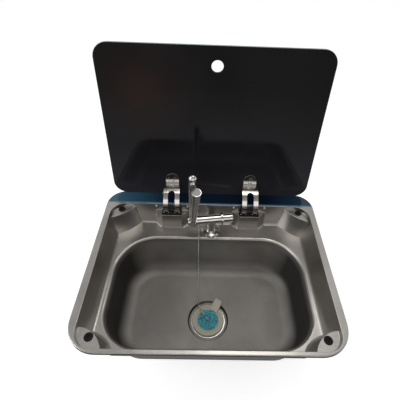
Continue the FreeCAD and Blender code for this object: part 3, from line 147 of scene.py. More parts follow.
# %% Helpers for node trees
def add(tree, kind, **values):
    """A node with its properties and its sockets' values set."""
    node = tree.nodes.new(kind)
    for key, value in values.items():
        if hasattr(node, key):
            setattr(node, key, value)
        else:
            node.inputs[key.replace("_", " ")].default_value = value
    return node


def split(tree, output):
    """The three parts of a place or direction that the texture coordinates give."""
    parts = add(tree, "ShaderNodeSeparateXYZ")
    tree.links.new(add(tree, "ShaderNodeTexCoord").outputs[output], parts.inputs[0])
    return parts.outputs


def between(tree, source, low, high, start=0.0, end=1.0):
    """Maps a value from start..end to low..high, and holds it there."""
    node = add(tree, "ShaderNodeMapRange", From_Min=start, From_Max=end, To_Min=low, To_Max=high)
    tree.links.new(source, node.inputs["Value"])
    return node.outputs["Result"]


def ramp(tree, source, stops):
    """A colour ramp with (place, grey or colour) stops, fed by a socket."""
    node = tree.nodes.new("ShaderNodeValToRGB")
    while len(node.color_ramp.elements) < len(stops):
        node.color_ramp.elements.new(0.5)
    for element, (place, colour) in zip(node.color_ramp.elements, stops):
        element.position = place
        if isinstance(colour, (int, float)):
            colour = (colour, colour, colour)
        element.color = (*colour, 1)
    tree.links.new(source, node.inputs["Fac"])
    return node.outputs["Color"]


def blend_by(tree, factor, first, second, how="MIX"):
    """Mixes two colours by a socket or a number. Each colour is a socket or three numbers."""
    node = add(tree, "ShaderNodeMix", data_type="RGBA", blend_type=how)
    if isinstance(factor, float):
        node.inputs["Factor"].default_value = factor
    else:
        tree.links.new(factor, node.inputs["Factor"])
    for letter, colour in (("A", first), ("B", second)):
        if isinstance(colour, tuple):
            node.inputs[letter].default_value = (*colour, 1)
        else:
            tree.links.new(colour, node.inputs[letter])
    return node.outputs["Result"]


# %% The sky
BY_HEIGHT = [(0.0, 1.0), (0.5, 1.0), (0.6, 0.55), (0.82, 0.72), (1.0, 0.3)]
BY_SIDE = [(0.0, 0.45), (0.5, 0.5), (1.0, 1.0)]
USER_SIDE, REAR_SIDE = -0.85, 0.1
WHITE = (1.0, 1.0, 1.0)

world = bpy.data.worlds.new("studio")
bpy.context.scene.world = world
world.use_nodes = True
sky = world.node_tree
sky.nodes.clear()

direction = split(sky, "Generated")
height = ramp(sky, between(sky, direction["Z"], 0.0, 1.0, -1.0, 1.0), BY_HEIGHT)
side = ramp(sky, between(sky, direction["Y"], 0.0, 1.0, USER_SIDE, REAR_SIDE), BY_SIDE)
room = blend_by(sky, 1.0, height, side, "MULTIPLY")
to_camera = add(sky, "ShaderNodeLightPath").outputs["Is Camera Ray"]
background = add(sky, "ShaderNodeBackground", Strength=1.0)
sky.links.new(blend_by(sky, to_camera, room, WHITE), background.inputs["Color"])
sky.links.new(background.outputs[0], add(sky, "ShaderNodeOutputWorld").inputs["Surface"])

# %% The lamps
def lamp(name, place, aim, size, watts, colour):
    """An oblong soft lamp that points at aim."""
    data = bpy.data.lights.new(name, "AREA")
    data.shape, data.size, data.size_y = "RECTANGLE", *size
    data.energy, data.color = watts, colour
    thing = bpy.data.objects.new(name, data)
    bpy.context.scene.collection.objects.link(thing)
    way = Vector(aim) - Vector(place)
    thing.matrix_world = Matrix.Translation(place) @ way.to_track_quat("-Z", "Y").to_matrix().to_4x4()


lamp("ceiling lamp", (0.15, 0.25, 1.5), (0, 0, 0), (0.5, 0.9), 4.2, (1.0, 0.98, 0.94))
lamp("left lamp", (-1.3, -0.4, 0.9), (0, 0, 0), (0.5, 0.9), 6.5, (0.95, 0.98, 1.0))
lamp("front lamp", (0.1, -1.4, 0.6), (0, 0.1, -0.02), (1.6, 0.9), 3.8, (1.0, 0.96, 0.94))
bpy.context.scene.view_settings.view_transform = "Standard"

# %% [markdown]
# ## Shared surface effects
#
# Brushing, cloudiness and crinkles are used by more than one finish, so each is a node group that is built
# once. A group only gives values that change over the surface. Plain numbers stay on the shader itself.

# %% Node groups
def new_group(name, numbers, outputs):
    """A shader node group with a float input for each number, and the named outputs."""
    tree = bpy.data.node_groups.new(name, "ShaderNodeTree")
    for label, value in numbers.items():
        socket = tree.interface.new_socket(label, in_out="INPUT", socket_type="NodeSocketFloat")
        socket.default_value = value
    for label, kind in outputs.items():
        tree.interface.new_socket(label, in_out="OUTPUT", socket_type=kind)
    return tree, tree.nodes.new("NodeGroupInput"), tree.nodes.new("NodeGroupOutput")


def brushed_group():
    """Fine lines that run along X, as a rolled and brushed sheet has, and edges that are softly rounded."""
    tree, given, made = new_group(
        "brushed grain",
        {"Fineness": 2600.0, "Depth": 0.05},
        {"Value": "NodeSocketFloat", "Normal": "NodeSocketVector"},
    )
    spot = add(tree, "ShaderNodeTexCoord").outputs["Object"]
    squeeze = add(tree, "ShaderNodeVectorMath", operation="MULTIPLY")
    tree.links.new(spot, squeeze.inputs[0])
    squeeze.inputs[1].default_value = (0.03, 1, 1)
    lines = add(tree, "ShaderNodeTexNoise", Detail=5.0, Roughness=0.6)
    tree.links.new(squeeze.outputs[0], lines.inputs["Vector"])
    tree.links.new(given.outputs["Fineness"], lines.inputs["Scale"])
    bump = add(tree, "ShaderNodeBump", Distance=0.0002)
    worn = add(tree, "ShaderNodeBevel", samples=6, Radius=0.0011)
    tree.links.new(worn.outputs["Normal"], bump.inputs["Normal"])
    tree.links.new(lines.outputs["Fac"], bump.inputs["Height"])
    tree.links.new(given.outputs["Depth"], bump.inputs["Strength"])
    tree.links.new(lines.outputs["Fac"], made.inputs["Value"])
    tree.links.new(bump.outputs["Normal"], made.inputs["Normal"])
    return tree


def cloud_group():
    """Soft patches, as handling and wiping leave on a polished surface."""
    tree, given, made = new_group(
        "clouding", {"Size": 30.0, "Low": 0.4, "High": 0.6}, {"Value": "NodeSocketFloat"}
    )
    spot = add(tree, "ShaderNodeTexCoord").outputs["Object"]
    patches = add(tree, "ShaderNodeTexNoise", Detail=4.0, Distortion=0.4)
    tree.links.new(spot, patches.inputs["Vector"])
    tree.links.new(given.outputs["Size"], patches.inputs["Scale"])
    spread = add(tree, "ShaderNodeMapRange", From_Min=0.35, From_Max=0.65)
    tree.links.new(patches.outputs["Fac"], spread.inputs["Value"])
    tree.links.new(given.outputs["Low"], spread.inputs["To Min"])
    tree.links.new(given.outputs["High"], spread.inputs["To Max"])
    tree.links.new(spread.outputs["Result"], made.inputs["Value"])
    return tree


def crinkle_group():
    """The small facets of thin film that has been handled, or of moulded rubber's skin."""
    tree, given, made = new_group(
        "crinkle",
        {"Scale": 200.0, "Depth": 0.3},
        {"Value": "NodeSocketFloat", "Normal": "NodeSocketVector"},
    )
    spot = add(tree, "ShaderNodeTexCoord").outputs["Object"]
    cells = add(tree, "ShaderNodeTexVoronoi", feature="F1")
    tree.links.new(spot, cells.inputs["Vector"])
    tree.links.new(given.outputs["Scale"], cells.inputs["Scale"])
    bump = add(tree, "ShaderNodeBump", Distance=0.001)
    tree.links.new(cells.outputs["Distance"], bump.inputs["Height"])
    tree.links.new(given.outputs["Depth"], bump.inputs["Strength"])
    tree.links.new(cells.outputs["Distance"], made.inputs["Value"])
    tree.links.new(bump.outputs["Normal"], made.inputs["Normal"])
    return tree


BRUSHED, CLOUDS, CRINKLE = brushed_group(), cloud_group(), crinkle_group()
print("node groups:", ", ".join(tree.name for tree in (BRUSHED, CLOUDS, CRINKLE)))

# %% [markdown]
# ## Finishes
#
# Every finish starts from one Principled shader. The plain numbers go on its sockets, and the groups feed
# its colour, roughness and normal.

# %% Helpers for finishes
def finish(name, **numbers):
    """A material whose Principled shader has these values. Gives the material, its tree and the shader."""
    material = bpy.data.materials.new(name)
    material.use_nodes = True
    tree = material.node_tree
    shader = tree.nodes["Principled BSDF"]
    for key, value in numbers.items():
        socket = shader.inputs[key.replace("_", " ")]
        socket.default_value = (*value, 1) if key.endswith("Color") else value
    return material, tree, shader


def use(tree, group, **numbers):
    """Places a shared group with this finish's own values."""
    node = tree.nodes.new("ShaderNodeGroup")
    node.node_tree = group
    for key, value in numbers.items():
        node.inputs[key].default_value = value
    return node


# %% Which part of the pan a point is on
EDGE_MIDDLE, EDGE_HALF = 0.0018, 0.0026
EDGE_FOOT, BELOW_EDGE = EDGE_MIDDLE - EDGE_HALF, 0.8
BOWL_TOP, BOWL_DEEP = -0.044, -0.062
OUTWARD = 0.08


def product(tree, *sources):
    """Several values multiplied together."""
    whole = sources[0]
    for source in sources[1:]:
        both = add(tree, "ShaderNodeMath", operation="MULTIPLY")
        tree.links.new(whole, both.inputs[0])
        tree.links.new(source, both.inputs[1])
        whole = both.outputs[0]
    return whole


def larger(tree, first, second):
    """The larger of two values."""
    node = add(tree, "ShaderNodeMath", operation="MAXIMUM")
    tree.links.new(first, node.inputs[0])
    tree.links.new(second, node.inputs[1])
    return node.outputs[0]


def faces_out(tree, limit):
    """One where the surface faces away from the sink's middle by more than a limit."""
    coordinates = add(tree, "ShaderNodeTexCoord")
    outward = add(tree, "ShaderNodeVectorMath", operation="DOT_PRODUCT")
    tree.links.new(coordinates.outputs["Object"], outward.inputs[0])
    tree.links.new(coordinates.outputs["Normal"], outward.inputs[1])
    away = add(tree, "ShaderNodeMath", operation="GREATER_THAN")
    tree.links.new(outward.outputs["Value"], away.inputs[0])
    away.inputs[1].default_value = limit
    return away.outputs[0]


def outside(tree):
    """Where the painted shade on the outside goes: one on the rim's outer wall, most of one on the pan's outside
    below it, and nothing elsewhere.
    """
    height = split(tree, "Object")["Z"]
    edge = add(tree, "ShaderNodeMath", operation="COMPARE")
    tree.links.new(height, edge.inputs[0])
    edge.inputs[1].default_value, edge.inputs[2].default_value = EDGE_MIDDLE, EDGE_HALF
    below = between(tree, height, BELOW_EDGE, 0.0, EDGE_FOOT, EDGE_FOOT + 0.0001)
    return product(tree, larger(tree, edge.outputs[0], below), faces_out(tree, OUTWARD))


def inside_bowl(tree):
    """One inside the bowl, and nothing above its mouth or on its outside."""
    depth = between(tree, split(tree, "Object")["Z"], 1.0, 0.0, BOWL_DEEP, BOWL_TOP)
    return product(tree, depth, between(tree, faces_out(tree, 0.0), 1.0, 0.0))


def bowl_shade_amount(tree, bowl):
    """How much painted shade the bowl gets: up to one on its side walls, less on its floor, and least on its
    rear wall, which is lit.
    """
    ways = split(tree, "Normal")
    steep = ramp(tree, ways["Z"], [(0.0, 1.0), (0.4, 0.95), (0.8, 0.6), (1.0, 0.45)])
    rear = ramp(tree, between(tree, ways["Y"], 0.0, 1.0, -1.0, 0.0), [(0.05, 0.05), (0.4, 1.0)])
    return product(tree, bowl, steep, rear)


# %% Steel, chrome and brass
MATT_BOWL, MATT_OUTSIDE, SPREAD = 0.28, 0.55, 0.06


def duller(tree, gloss, where, extra):
    """Adds to a roughness where a mask is one."""
    node = add(tree, "ShaderNodeMath", operation="MULTIPLY_ADD")
    tree.links.new(where, node.inputs[0])
    node.inputs[1].default_value = extra
    tree.links.new(gloss, node.inputs[2])
    return node.outputs[0]


def pressed_steel(name, colour, dark, rough, outside_shade=None, bowl_shade=None):
    """Satin sheet: brushed lines in the gloss and a slow change of tone. Painted shade can darken the inside of
    the bowl and the sheet's outside below the rim, which are then duller too, and the outside stops being metal."""
    material, tree, shader = finish(name, Metallic=1.0, Base_Color=colour)
    grain = use(tree, BRUSHED, Fineness=2600.0, Depth=0.025)
    cloud = use(tree, CLOUDS, Size=14.0, Low=0.0, High=1.0)
    tone = ramp(tree, cloud.outputs["Value"], [(0.0, dark), (1.0, colour)])
    gloss = between(tree, grain.outputs["Value"], rough - SPREAD, rough + SPREAD, 0.3, 0.7)
    # Painted shade inside the bowl: the base colour turns to a dark tone, most on the side walls.
    if bowl_shade:
        bowl = inside_bowl(tree)
        tone = blend_by(tree, bowl_shade_amount(tree, bowl), tone, bowl_shade)
        gloss = duller(tree, gloss, bowl, MATT_BOWL)
    # Painted shade on the outside: the rim's outer wall and the pan below it turn dark, matt and not metal.
    if outside_shade:
        behind = outside(tree)
        tone = blend_by(tree, behind, tone, outside_shade)
        gloss = duller(tree, gloss, behind, MATT_OUTSIDE)
        tree.links.new(between(tree, behind, 1.0, 0.0), shader.inputs["Metallic"])
    tree.links.new(tone, shader.inputs["Base Color"])
    tree.links.new(gloss, shader.inputs["Roughness"])
    tree.links.new(grain.outputs["Normal"], shader.inputs["Normal"])
    return material


def plated(name, colour, low, high, size=60.0):
    """Polished or plated metal with faint patches in its gloss and its tone."""
    material, tree, shader = finish(name, Metallic=1.0, Base_Color=colour)
    wiped = use(tree, CLOUDS, Size=size, Low=low, High=high)
    tree.links.new(wiped.outputs["Value"], shader.inputs["Roughness"])
    darker = tuple(0.82 * channel for channel in colour)
    spots = use(tree, CLOUDS, Size=size * 2.7, Low=0.0, High=1.0)
    tone = ramp(tree, spots.outputs["Value"], [(0.0, darker), (1.0, colour)])
    tree.links.new(tone, shader.inputs["Base Color"])
    return material


# %% Rubber and plastic
def moulded(name, colour, rough, scale=700.0, depth=0.08, **numbers):
    """Rubber or plastic with a moulded skin."""
    material, tree, shader = finish(name, Base_Color=colour, **numbers)
    skin = use(tree, CRINKLE, Scale=scale, Depth=depth)
    cloud = use(tree, CLOUDS, Size=40.0, Low=rough - SPREAD, High=rough + SPREAD)
    tree.links.new(cloud.outputs["Value"], shader.inputs["Roughness"])
    tree.links.new(skin.outputs["Normal"], shader.inputs["Normal"])
    lighter = tuple(min(1.0, channel * 1.25 + 0.01) for channel in colour)
    tone = ramp(tree, skin.outputs["Value"], [(0.0, colour), (1.0, lighter)])
    tree.links.new(tone, shader.inputs["Base Color"])
    return material


# %% [markdown]
# The lid is one material with three zones. The faces are black and glossy, with painted reflections: a warm
# patch, and a paler foot near the sink. The ground edge is pale, and the wall of the finger hole is dark with
# painted shade. The zone is found from the surface's own direction and from the distance to the hole, and both
# stay right when the lid turns.

# %% Black glass
LID_OPEN = 97.4
LID_LEAN = math.radians(LID_OPEN - 90)
LID_FACE = Vector((0, -math.cos(LID_LEAN), math.sin(LID_LEAN)))
HOLE, HOLE_EDGE = Vector((0.003, 0.1913, 0.2686)), 0.0125
# Painted reflections on the lid's faces: a warm patch, and a paler foot near the sink.
WARM_REFLECTION_SPOT, WARM_REFLECTION_REACH = Vector((-0.125, 0.18, 0.225)), 0.11
HAZE = [(0.3, (0.0016, 0.0016, 0.0022)), (1.0, (0.0052, 0.0050, 0.0062))]
WARM_REFLECTION = [(0.0, (0.020, 0.0075, 0.0045)), (0.45, (0.008, 0.003, 0.002)), (1.0, 0.0)]
LOW_REFLECTION = [(0.0, (0.028, 0.028, 0.034)), (0.35, (0.012, 0.012, 0.015)), (1.0, 0.0)]
# The finger hole's wall is painted dark as shade; the rest of the ground edge keeps its pale colour.
HOLE_SHADE_TO_EDGE = [(0.0, (0.035, 0.035, 0.037)), (1.0, (0.30, 0.36, 0.37))]


def distance_from(tree, source, place):
    """How far a point of the surface is from a place, in metres."""
    gap = add(tree, "ShaderNodeVectorMath", operation="DISTANCE")
    tree.links.new(source, gap.inputs[0])
    gap.inputs[1].default_value = place
    return gap.outputs["Value"]


def glass_face(tree, spot):
    """The face's tone: nearly black, with faint haze, a painted warm reflection in one patch, and a paler
    painted reflection at its foot near the sink.
    """
    haze = use(tree, CLOUDS, Size=6.0, Low=0.0, High=1.0)
    tone = ramp(tree, haze.outputs["Value"], HAZE)
    near_reflection = between(tree, distance_from(tree, spot, WARM_REFLECTION_SPOT), 0.0, 1.0, 0.0, WARM_REFLECTION_REACH)
    tone = blend_by(tree, 1.0, tone, ramp(tree, near_reflection, WARM_REFLECTION), "ADD")
    height = between(tree, split(tree, "Object")["Z"], 0.0, 1.0, 0.0, 0.2)
    return blend_by(tree, 1.0, tone, ramp(tree, height, LOW_REFLECTION), "ADD")


def black_glass():
    """The lid's glass, by its three zones."""
    material, tree, shader = finish("black glass", IOR=1.5, Specular_IOR_Level=0.1)
    coordinates = add(tree, "ShaderNodeTexCoord")
    spot = coordinates.outputs["Object"]
    facing = add(tree, "ShaderNodeVectorMath", operation="DOT_PRODUCT")
    tree.links.new(coordinates.outputs["Normal"], facing.inputs[0])
    facing.inputs[1].default_value = LID_FACE
    flat = add(tree, "ShaderNodeMath", operation="ABSOLUTE")
    tree.links.new(facing.outputs["Value"], flat.inputs[0])
    is_face = between(tree, flat.outputs[0], 0.0, 1.0, 0.85, 0.95)
    near_hole = between(tree, distance_from(tree, spot, HOLE), 0.0, 1.0, HOLE_EDGE, HOLE_EDGE + 0.001)
    edge = ramp(tree, near_hole, HOLE_SHADE_TO_EDGE)
    tree.links.new(blend_by(tree, is_face, edge, glass_face(tree, spot)), shader.inputs["Base Color"])
    wiped = use(tree, CLOUDS, Size=9.0, Low=0.03, High=0.11)
    tree.links.new(wiped.outputs["Value"], shader.inputs["Roughness"])
    return material


# %% Film
FILM_TONES = [(0.0, (0.05, 0.12, 0.18)), (0.09, (0.03, 0.09, 0.14)), (0.28, (0.006, 0.016, 0.036)),
              (0.8, (0.004, 0.011, 0.024)), (1.0, (0.014, 0.04, 0.075))]
FILM_HALF, LIT_START, LIT_WIDTH, LIT_TONE = 0.19, 0.127, 0.0035, (0.13, 0.34, 0.56)
FOLD_LOW, FOLD_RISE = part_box("plug_film")[0].z, 0.0011


def film(name, clear):
    """Thin film over the rim: faint creases, tones along its length, and a front edge that is lit."""
    material, tree, shader = finish(name, Roughness=0.14, Alpha=clear)
    crease = use(tree, CRINKLE, Scale=60.0, Depth=0.25)
    place = split(tree, "Object")
    along = ramp(tree, between(tree, place["X"], 0.0, 1.0, -FILM_HALF, FILM_HALF), FILM_TONES)
    from_edge = between(tree, place["Y"], 0.0, 1.0, LIT_START, LIT_START + LIT_WIDTH)
    tree.links.new(blend_by(tree, from_edge, LIT_TONE, along), shader.inputs["Base Color"])
    tree.links.new(crease.outputs["Normal"], shader.inputs["Normal"])
    return material


def wrinkled_film(name, fold_shade, bright):
    """Film that is bunched up, with painted shade down in its folds and a painted highlight on its ridges, by
    the height of the surface.
    """
    material, tree, shader = finish(name, Roughness=0.2)
    crease = use(tree, CRINKLE, Scale=420.0, Depth=0.5)
    height = between(tree, split(tree, "Object")["Z"], 0.0, 1.0, FOLD_LOW, FOLD_LOW + FOLD_RISE)
    # Painted shade low in the folds, and a painted highlight a third lighter on the ridges.
    lit = tuple(1.3 * channel for channel in bright)
    tone = ramp(tree, height, [(0.0, fold_shade), (0.45, bright), (1.0, lit)])
    tree.links.new(tone, shader.inputs["Base Color"])
    tree.links.new(crease.outputs["Normal"], shader.inputs["Normal"])
    return material


# %% The floor's white
def white_floor():
    """White for the camera and in reflections, with the object's shadow kept by the part that takes light."""
    material, tree, shader = finish("white floor", Base_Color=(0.8, 0.8, 0.8), Roughness=0.9,
                                    Emission_Strength=0.62)
    rays = add(tree, "ShaderNodeLightPath").outputs
    seen = larger(tree, rays["Is Camera Ray"], rays["Is Glossy Ray"])
    seen = larger(tree, seen, rays["Is Transmission Ray"])
    tree.links.new(ramp(tree, seen, [(0.0, 0.0), (1.0, 1.0)]), shader.inputs["Emission Color"])
    return material


# %% All the finishes, by the record's slots
FINISHES = {
    # The stainless steel gets painted shade: near black on its outside below the rim, dark inside the bowl.
    "brushed_stainless": pressed_steel("brushed stainless", (0.54, 0.52, 0.49), (0.43, 0.41, 0.39), 0.31,
                                       outside_shade=(0.015, 0.015, 0.015), bowl_shade=(0.085, 0.08, 0.074)),
    "seal_rubber": moulded("black rubber", (0.004, 0.004, 0.004), 0.7, Specular_IOR_Level=0.2),
    "blue_film": film("blue film", 0.985),
    "black_glass": black_glass(),
    "polished_hinge": plated("polished hinge steel", (0.80, 0.77, 0.72), 0.12, 0.22, 120.0),
    "cushion_rubber": moulded("smoked cushion", (0.38, 0.38, 0.37), 0.3),
    "zinc_steel": plated("zinc plate", (0.62, 0.63, 0.66), 0.22, 0.36, 200.0),
    "washer_plastic": moulded("acetal", (0.72, 0.72, 0.69), 0.4),
    "tap_chrome": plated("chrome", (0.70, 0.68, 0.67), 0.05, 0.11, 40.0),
    "lever_cap_grey": pressed_steel("satin cap", (0.34, 0.34, 0.33), (0.24, 0.24, 0.24), 0.42),
    "outlet_mesh": moulded("outlet plastic", (0.16, 0.16, 0.17), 0.45),
    "cartridge_brass": plated("turned brass", (0.72, 0.53, 0.24), 0.2, 0.34, 150.0),
    "ring_rubber": moulded("ring rubber", (0.02, 0.02, 0.02), 0.5),
    "waste_stainless": pressed_steel("waste stainless", (0.62, 0.61, 0.58), (0.5, 0.48, 0.46), 0.2),
    "waste_plastic": moulded("white polypropylene", (0.74, 0.74, 0.72), 0.38),
    "plug_cream": moulded("cream plug", (0.40, 0.39, 0.31), 0.32, 500.0, 0.05),
    "teal_film": wrinkled_film("teal film", (0.006, 0.075, 0.10), (0.02, 0.33, 0.42)),
}


def dress(thing, slot):
    """Gives an object one finish in all its slots."""
    thing.data.materials.clear()
    thing.data.materials.append(FINISHES[slot])


for name, thing in nodes.items():
    dress(thing, slot_of[name])
floor.data.materials.append(white_floor())
print(f"{len(FINISHES)} finishes on {len(nodes)} nodes")

# %% [markdown]
# ## The bead chain
#
# The stopper hangs on a ball chain. The CAD model has a plain tube along the chain's way, so that it can be
# weighed and checked. Here the same way is a NURBS curve, and beads are set along it at an even pitch with a
# thin link between each two, as in the real chain.

# %% The chain's way
CHAIN_WAY = [
    (-22.3, 95.9, -21.9), (-22.4, 86.6, -33.6), (-22.6, 75.4, -46.6), (-22.8, 73.2, -64), (-22.8, 71.2, -84),
    (-22.8, 68.4, -103), (-22.7, 60.4, -121), (-22.6, 45.0, -131.6), (-22.4, 26, -133.0), (-22.0, 6, -133.3),
    (-20.8, -14, -133.2), (-15.6, -31, -132.6), (-2.2, -46.4, -130.8),
]
BEAD_RADIUS, LINK_RADIUS, PITCH = 1.2, 0.38, 3.2
MM = 0.001

way = bpy.data.curves.new("chain way", "CURVE")
way.dimensions = "3D"
way.resolution_u = 24
spline = way.splines.new("NURBS")
spline.points.add(len(CHAIN_WAY) - 1)
for point, place in zip(spline.points, CHAIN_WAY):
    point.co = (*(Vector(place) * MM), 1)
spline.order_u = 3
spline.use_endpoint_u = True
way_object = link_new("chain way", way)
bpy.context.view_layer.update()
line_mesh = bpy.data.meshes.new_from_object(way_object)
line = [vertex.co.copy() for vertex in line_mesh.vertices]
bpy.data.objects.remove(way_object)
chain_length = sum((b - a).length for a, b in zip(line, line[1:]))
print(f"chain {chain_length * 1000:.1f} mm")


def even_steps(points, whole, count):
    """Points at even distances along a line whose whole length is known."""
    step, gone, spots, number = whole / count, 0.0, [points[0]], 1
    for a, b in zip(points, points[1:]):
        run = (b - a).length
        while number < count and gone + run >= number * step:
            spots.append(a.lerp(b, (number * step - gone) / run))
            number += 1
        gone += run
    spots.append(points[-1])
    return spots


# %% Beads and links
def rod_between(bm, start, end, radius, segments=6):
    """A thin round rod from start to end."""
    way_to = end - start
    turn = way_to.to_track_quat("Z", "Y").to_matrix().to_4x4()
    bmesh.ops.create_cone(bm, cap_ends=True, segments=segments, radius1=radius, radius2=radius,
                          depth=way_to.length, matrix=Matrix.Translation((start + end) / 2) @ turn)


beads = even_steps(line, chain_length, round(chain_length / (PITCH * MM)))
bm = bmesh.new()
for spot in beads:
    bmesh.ops.create_uvsphere(bm, u_segments=12, v_segments=8, radius=BEAD_RADIUS * MM,
                              matrix=Matrix.Translation(spot))
for start, end in zip(beads, beads[1:]):
    rod_between(bm, start, end, LINK_RADIUS * MM)
chain = link_new("bead_chain", mesh_from("bead_chain", bm))
dress(chain, "tap_chrome")
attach(chain, "sink")
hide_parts("plug_chain")
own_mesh(chain)
print(f"{len(beads)} beads")

# %% [markdown]
# ## Small turned pieces
#
# A screw's head, the web in a grommet and a thread are too fine for the CAD model. The first two are outlines
# turned all the way round, and the thread is a small ridge that climbs as it turns.

# %% Ways of making them
def join(bm, part, matrix):
    """Moves a finished small bmesh to its place in a bigger one."""
    bmesh.ops.recalc_face_normals(part, faces=part.faces[:])
    bmesh.ops.transform(part, matrix=matrix, verts=part.verts[:])
    scrap = bpy.data.meshes.new("scrap")
    part.to_mesh(scrap)
    part.free()
    bm.from_mesh(scrap)
    bpy.data.meshes.remove(scrap)


def turned_form(outline, segments=32):
    """A form turned about Z from (radius, height) pairs in millimetres."""
    part = bmesh.new()
    points = [part.verts.new((radius * MM, 0, height * MM)) for radius, height in outline]
    for first, second in zip(points, points[1:]):
        part.edges.new((first, second))
    bmesh.ops.spin(part, geom=part.verts[:] + part.edges[:], cent=(0, 0, 0), axis=(0, 0, 1),
                   angle=math.tau, steps=segments, use_merge=True)
    bmesh.ops.remove_doubles(part, verts=part.verts[:], dist=1e-7)
    return part


def at(x, y, z):
    """A move to a place given in millimetres."""
    return Matrix.Translation(Vector((x, y, z)) * MM)


def extent(thing):
    """The lowest and highest corner of a mesh."""
    spots = [vertex.co for vertex in thing.data.vertices]
    return [min(axis) for axis in zip(*spots)], [max(axis) for axis in zip(*spots)]


def show(name, bm, body, slot, smooth=True, replaces=()):
    """Files a finished piece: its body, its finish, and the CAD nodes that it stands for."""
    thing = link_new(name, mesh_from(name, bm, smooth))
    dress(thing, slot)
    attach(thing, body)
    if replaces:
        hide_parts(*replaces)
    size = [round(1000 * (high - low), 1) for low, high in zip(*extent(thing))]
    print(f"{name}: {len(thing.data.polygons)} faces, {size} mm")
    return thing


# %% Screws with sockets in their heads
HINGE_X, PIVOT_Y = 79, 146.8
WALL_Y, WALL_LEAN, SCREW_HALF, SCREW_Z = 124.732, 7.294, 31.5, -1
ALONG_GLASS, ABOVE_GLASS = -40.6, 4.2
DOME_ANGLES = [math.radians(angle) for angle in (8, 25, 42, 58, 72)]


def socket_screw(radius, length, head, rise, socket):
    """A domed screw that hangs from z = 0, with a round socket in its head."""
    point = [(0, -length), (radius - 0.5, -length), (radius, 0.5 - length), (radius, 0), (head, 0)]
    dome = [(head * math.cos(angle) ** 0.8, rise * math.sin(angle)) for angle in DOME_ANGLES]
    dome = [(out, up) for out, up in dome if out > socket]
    hollow = [(socket, rise), (socket * 0.94, rise * 0.45), (0, rise * 0.4)]
    return turned_form(point + dome + hollow, 28)


bm = bmesh.new()
for side in (-1, 1):
    for way in (-1, 1):
        spot = at(side * HINGE_X + way * SCREW_HALF, WALL_Y, SCREW_Z)
        screw = socket_screw(radius=2, length=8, head=3, rise=1.6, socket=0.9)
        join(bm, screw, spot @ Matrix.Rotation(math.radians(90 - WALL_LEAN), 4, "X"))
show("wall_screws_socketed", bm, "sink", "zinc_steel", replaces=["wall_screws"])

bm = bmesh.new()
for side in (-1, 1):
    lid_frame = at(side * HINGE_X, PIVOT_Y, 0) @ Matrix.Rotation(math.radians(-LID_OPEN), 4, "X")
    screw = socket_screw(radius=2.5, length=10, head=4, rise=2, socket=1.2)
    join(bm, screw, lid_frame @ at(0, ALONG_GLASS, ABOVE_GLASS) @ Matrix.Rotation(math.pi, 4, "X"))
show("lid_screws_socketed", bm, "lid", "zinc_steel", replaces=["lid_screws"])

# %% Webs across the grommets
PAD_TOP = -3
GROMMETS = [(177, -134.5), (-177, -134.5), (179, 115.5), (-179, 115.5)]
WEB = [(0, -0.5), (0.5, -0.55), (1.9, -0.9), (2.6, -0.35), (2.72, -0.1), (2.72, -1.2), (0, -1.1)]

bm = bmesh.new()
for x, y in GROMMETS:
    join(bm, turned_form(WEB), at(x, y, PAD_TOP))
show("grommet_webs", bm, "sink", "seal_rubber")

# %% The thread on the tap's shank
TAP = at(2, 99, -45) @ Matrix.Rotation(math.radians(8), 4, "Z")
SHANK_RADIUS, THREAD_RISE, THREAD_PITCH, THREAD_TURNS, THREAD_FOOT = 10.4, 0.25, 1.8, 13, -40
HIDDEN = 0.1


def thread_form(radius, height, pitch, turns, steps=36):
    """A climbing ridge of three-point section, whose feet are hidden in the shank."""
    part = bmesh.new()
    section = [(radius - HIDDEN, -0.35 * pitch), (radius + height, 0), (radius - HIDDEN, 0.35 * pitch)]
    points = [part.verts.new((x * MM, 0, z * MM)) for x, z in section]
    edges = [part.edges.new(pair) for pair in zip(points, points[1:])]
    bmesh.ops.spin(part, geom=points + edges, cent=(0, 0, 0), axis=(0, 0, 1), dvec=(0, 0, pitch * MM / steps),
                   angle=math.tau * turns, steps=steps * turns, use_merge=False)
    return part


bm = bmesh.new()
thread = thread_form(SHANK_RADIUS, THREAD_RISE, THREAD_PITCH, THREAD_TURNS)
join(bm, thread, TAP @ at(0, 0, THREAD_FOOT))
show("shank_thread", bm, "sink", "tap_chrome")

# %% [markdown]
# ## Rubber in the slots
#
# Each arm goes down through a slot in its boss. A black rubber frame lines the slot, and a soft lip fills the
# gap between the arm's two legs. The lip gives way when the lid closes and the arm's solid part comes in.

# %% Frames and lips
# Each outline is half its width, its front, its rear and its height.
BOSS_TOP, FRAME_TOP = -11, -7.3
FRAME_LOW = (20.2, 110.2, 121.2, BOSS_TOP), (17.2, 113.8, 117.7, BOSS_TOP)
FRAME_HIGH = (19.4, 110.8, 120.2, FRAME_TOP), (17.2, 112.7, 116.6, FRAME_TOP)
LIP_LOW, LIP_HIGH = (6.2, 113.9, 117.6, BOSS_TOP + 0.4), (6.2, 112.8, 116.5, FRAME_TOP - 0.3)


def corner_ring(bm, x, half, front, rear, z):
    """The four corners of an outline, as vertices."""
    spots = (x - half, front, z), (x + half, front, z), (x + half, rear, z), (x - half, rear, z)
    return [bm.verts.new(Vector(spot) * MM) for spot in spots]


def walls_between(bm, low, high):
    """Four faces from one ring of corners to another."""
    for k in range(4):
        after = (k + 1) % 4
        bm.faces.new((low[k], low[after], high[after], high[k]))


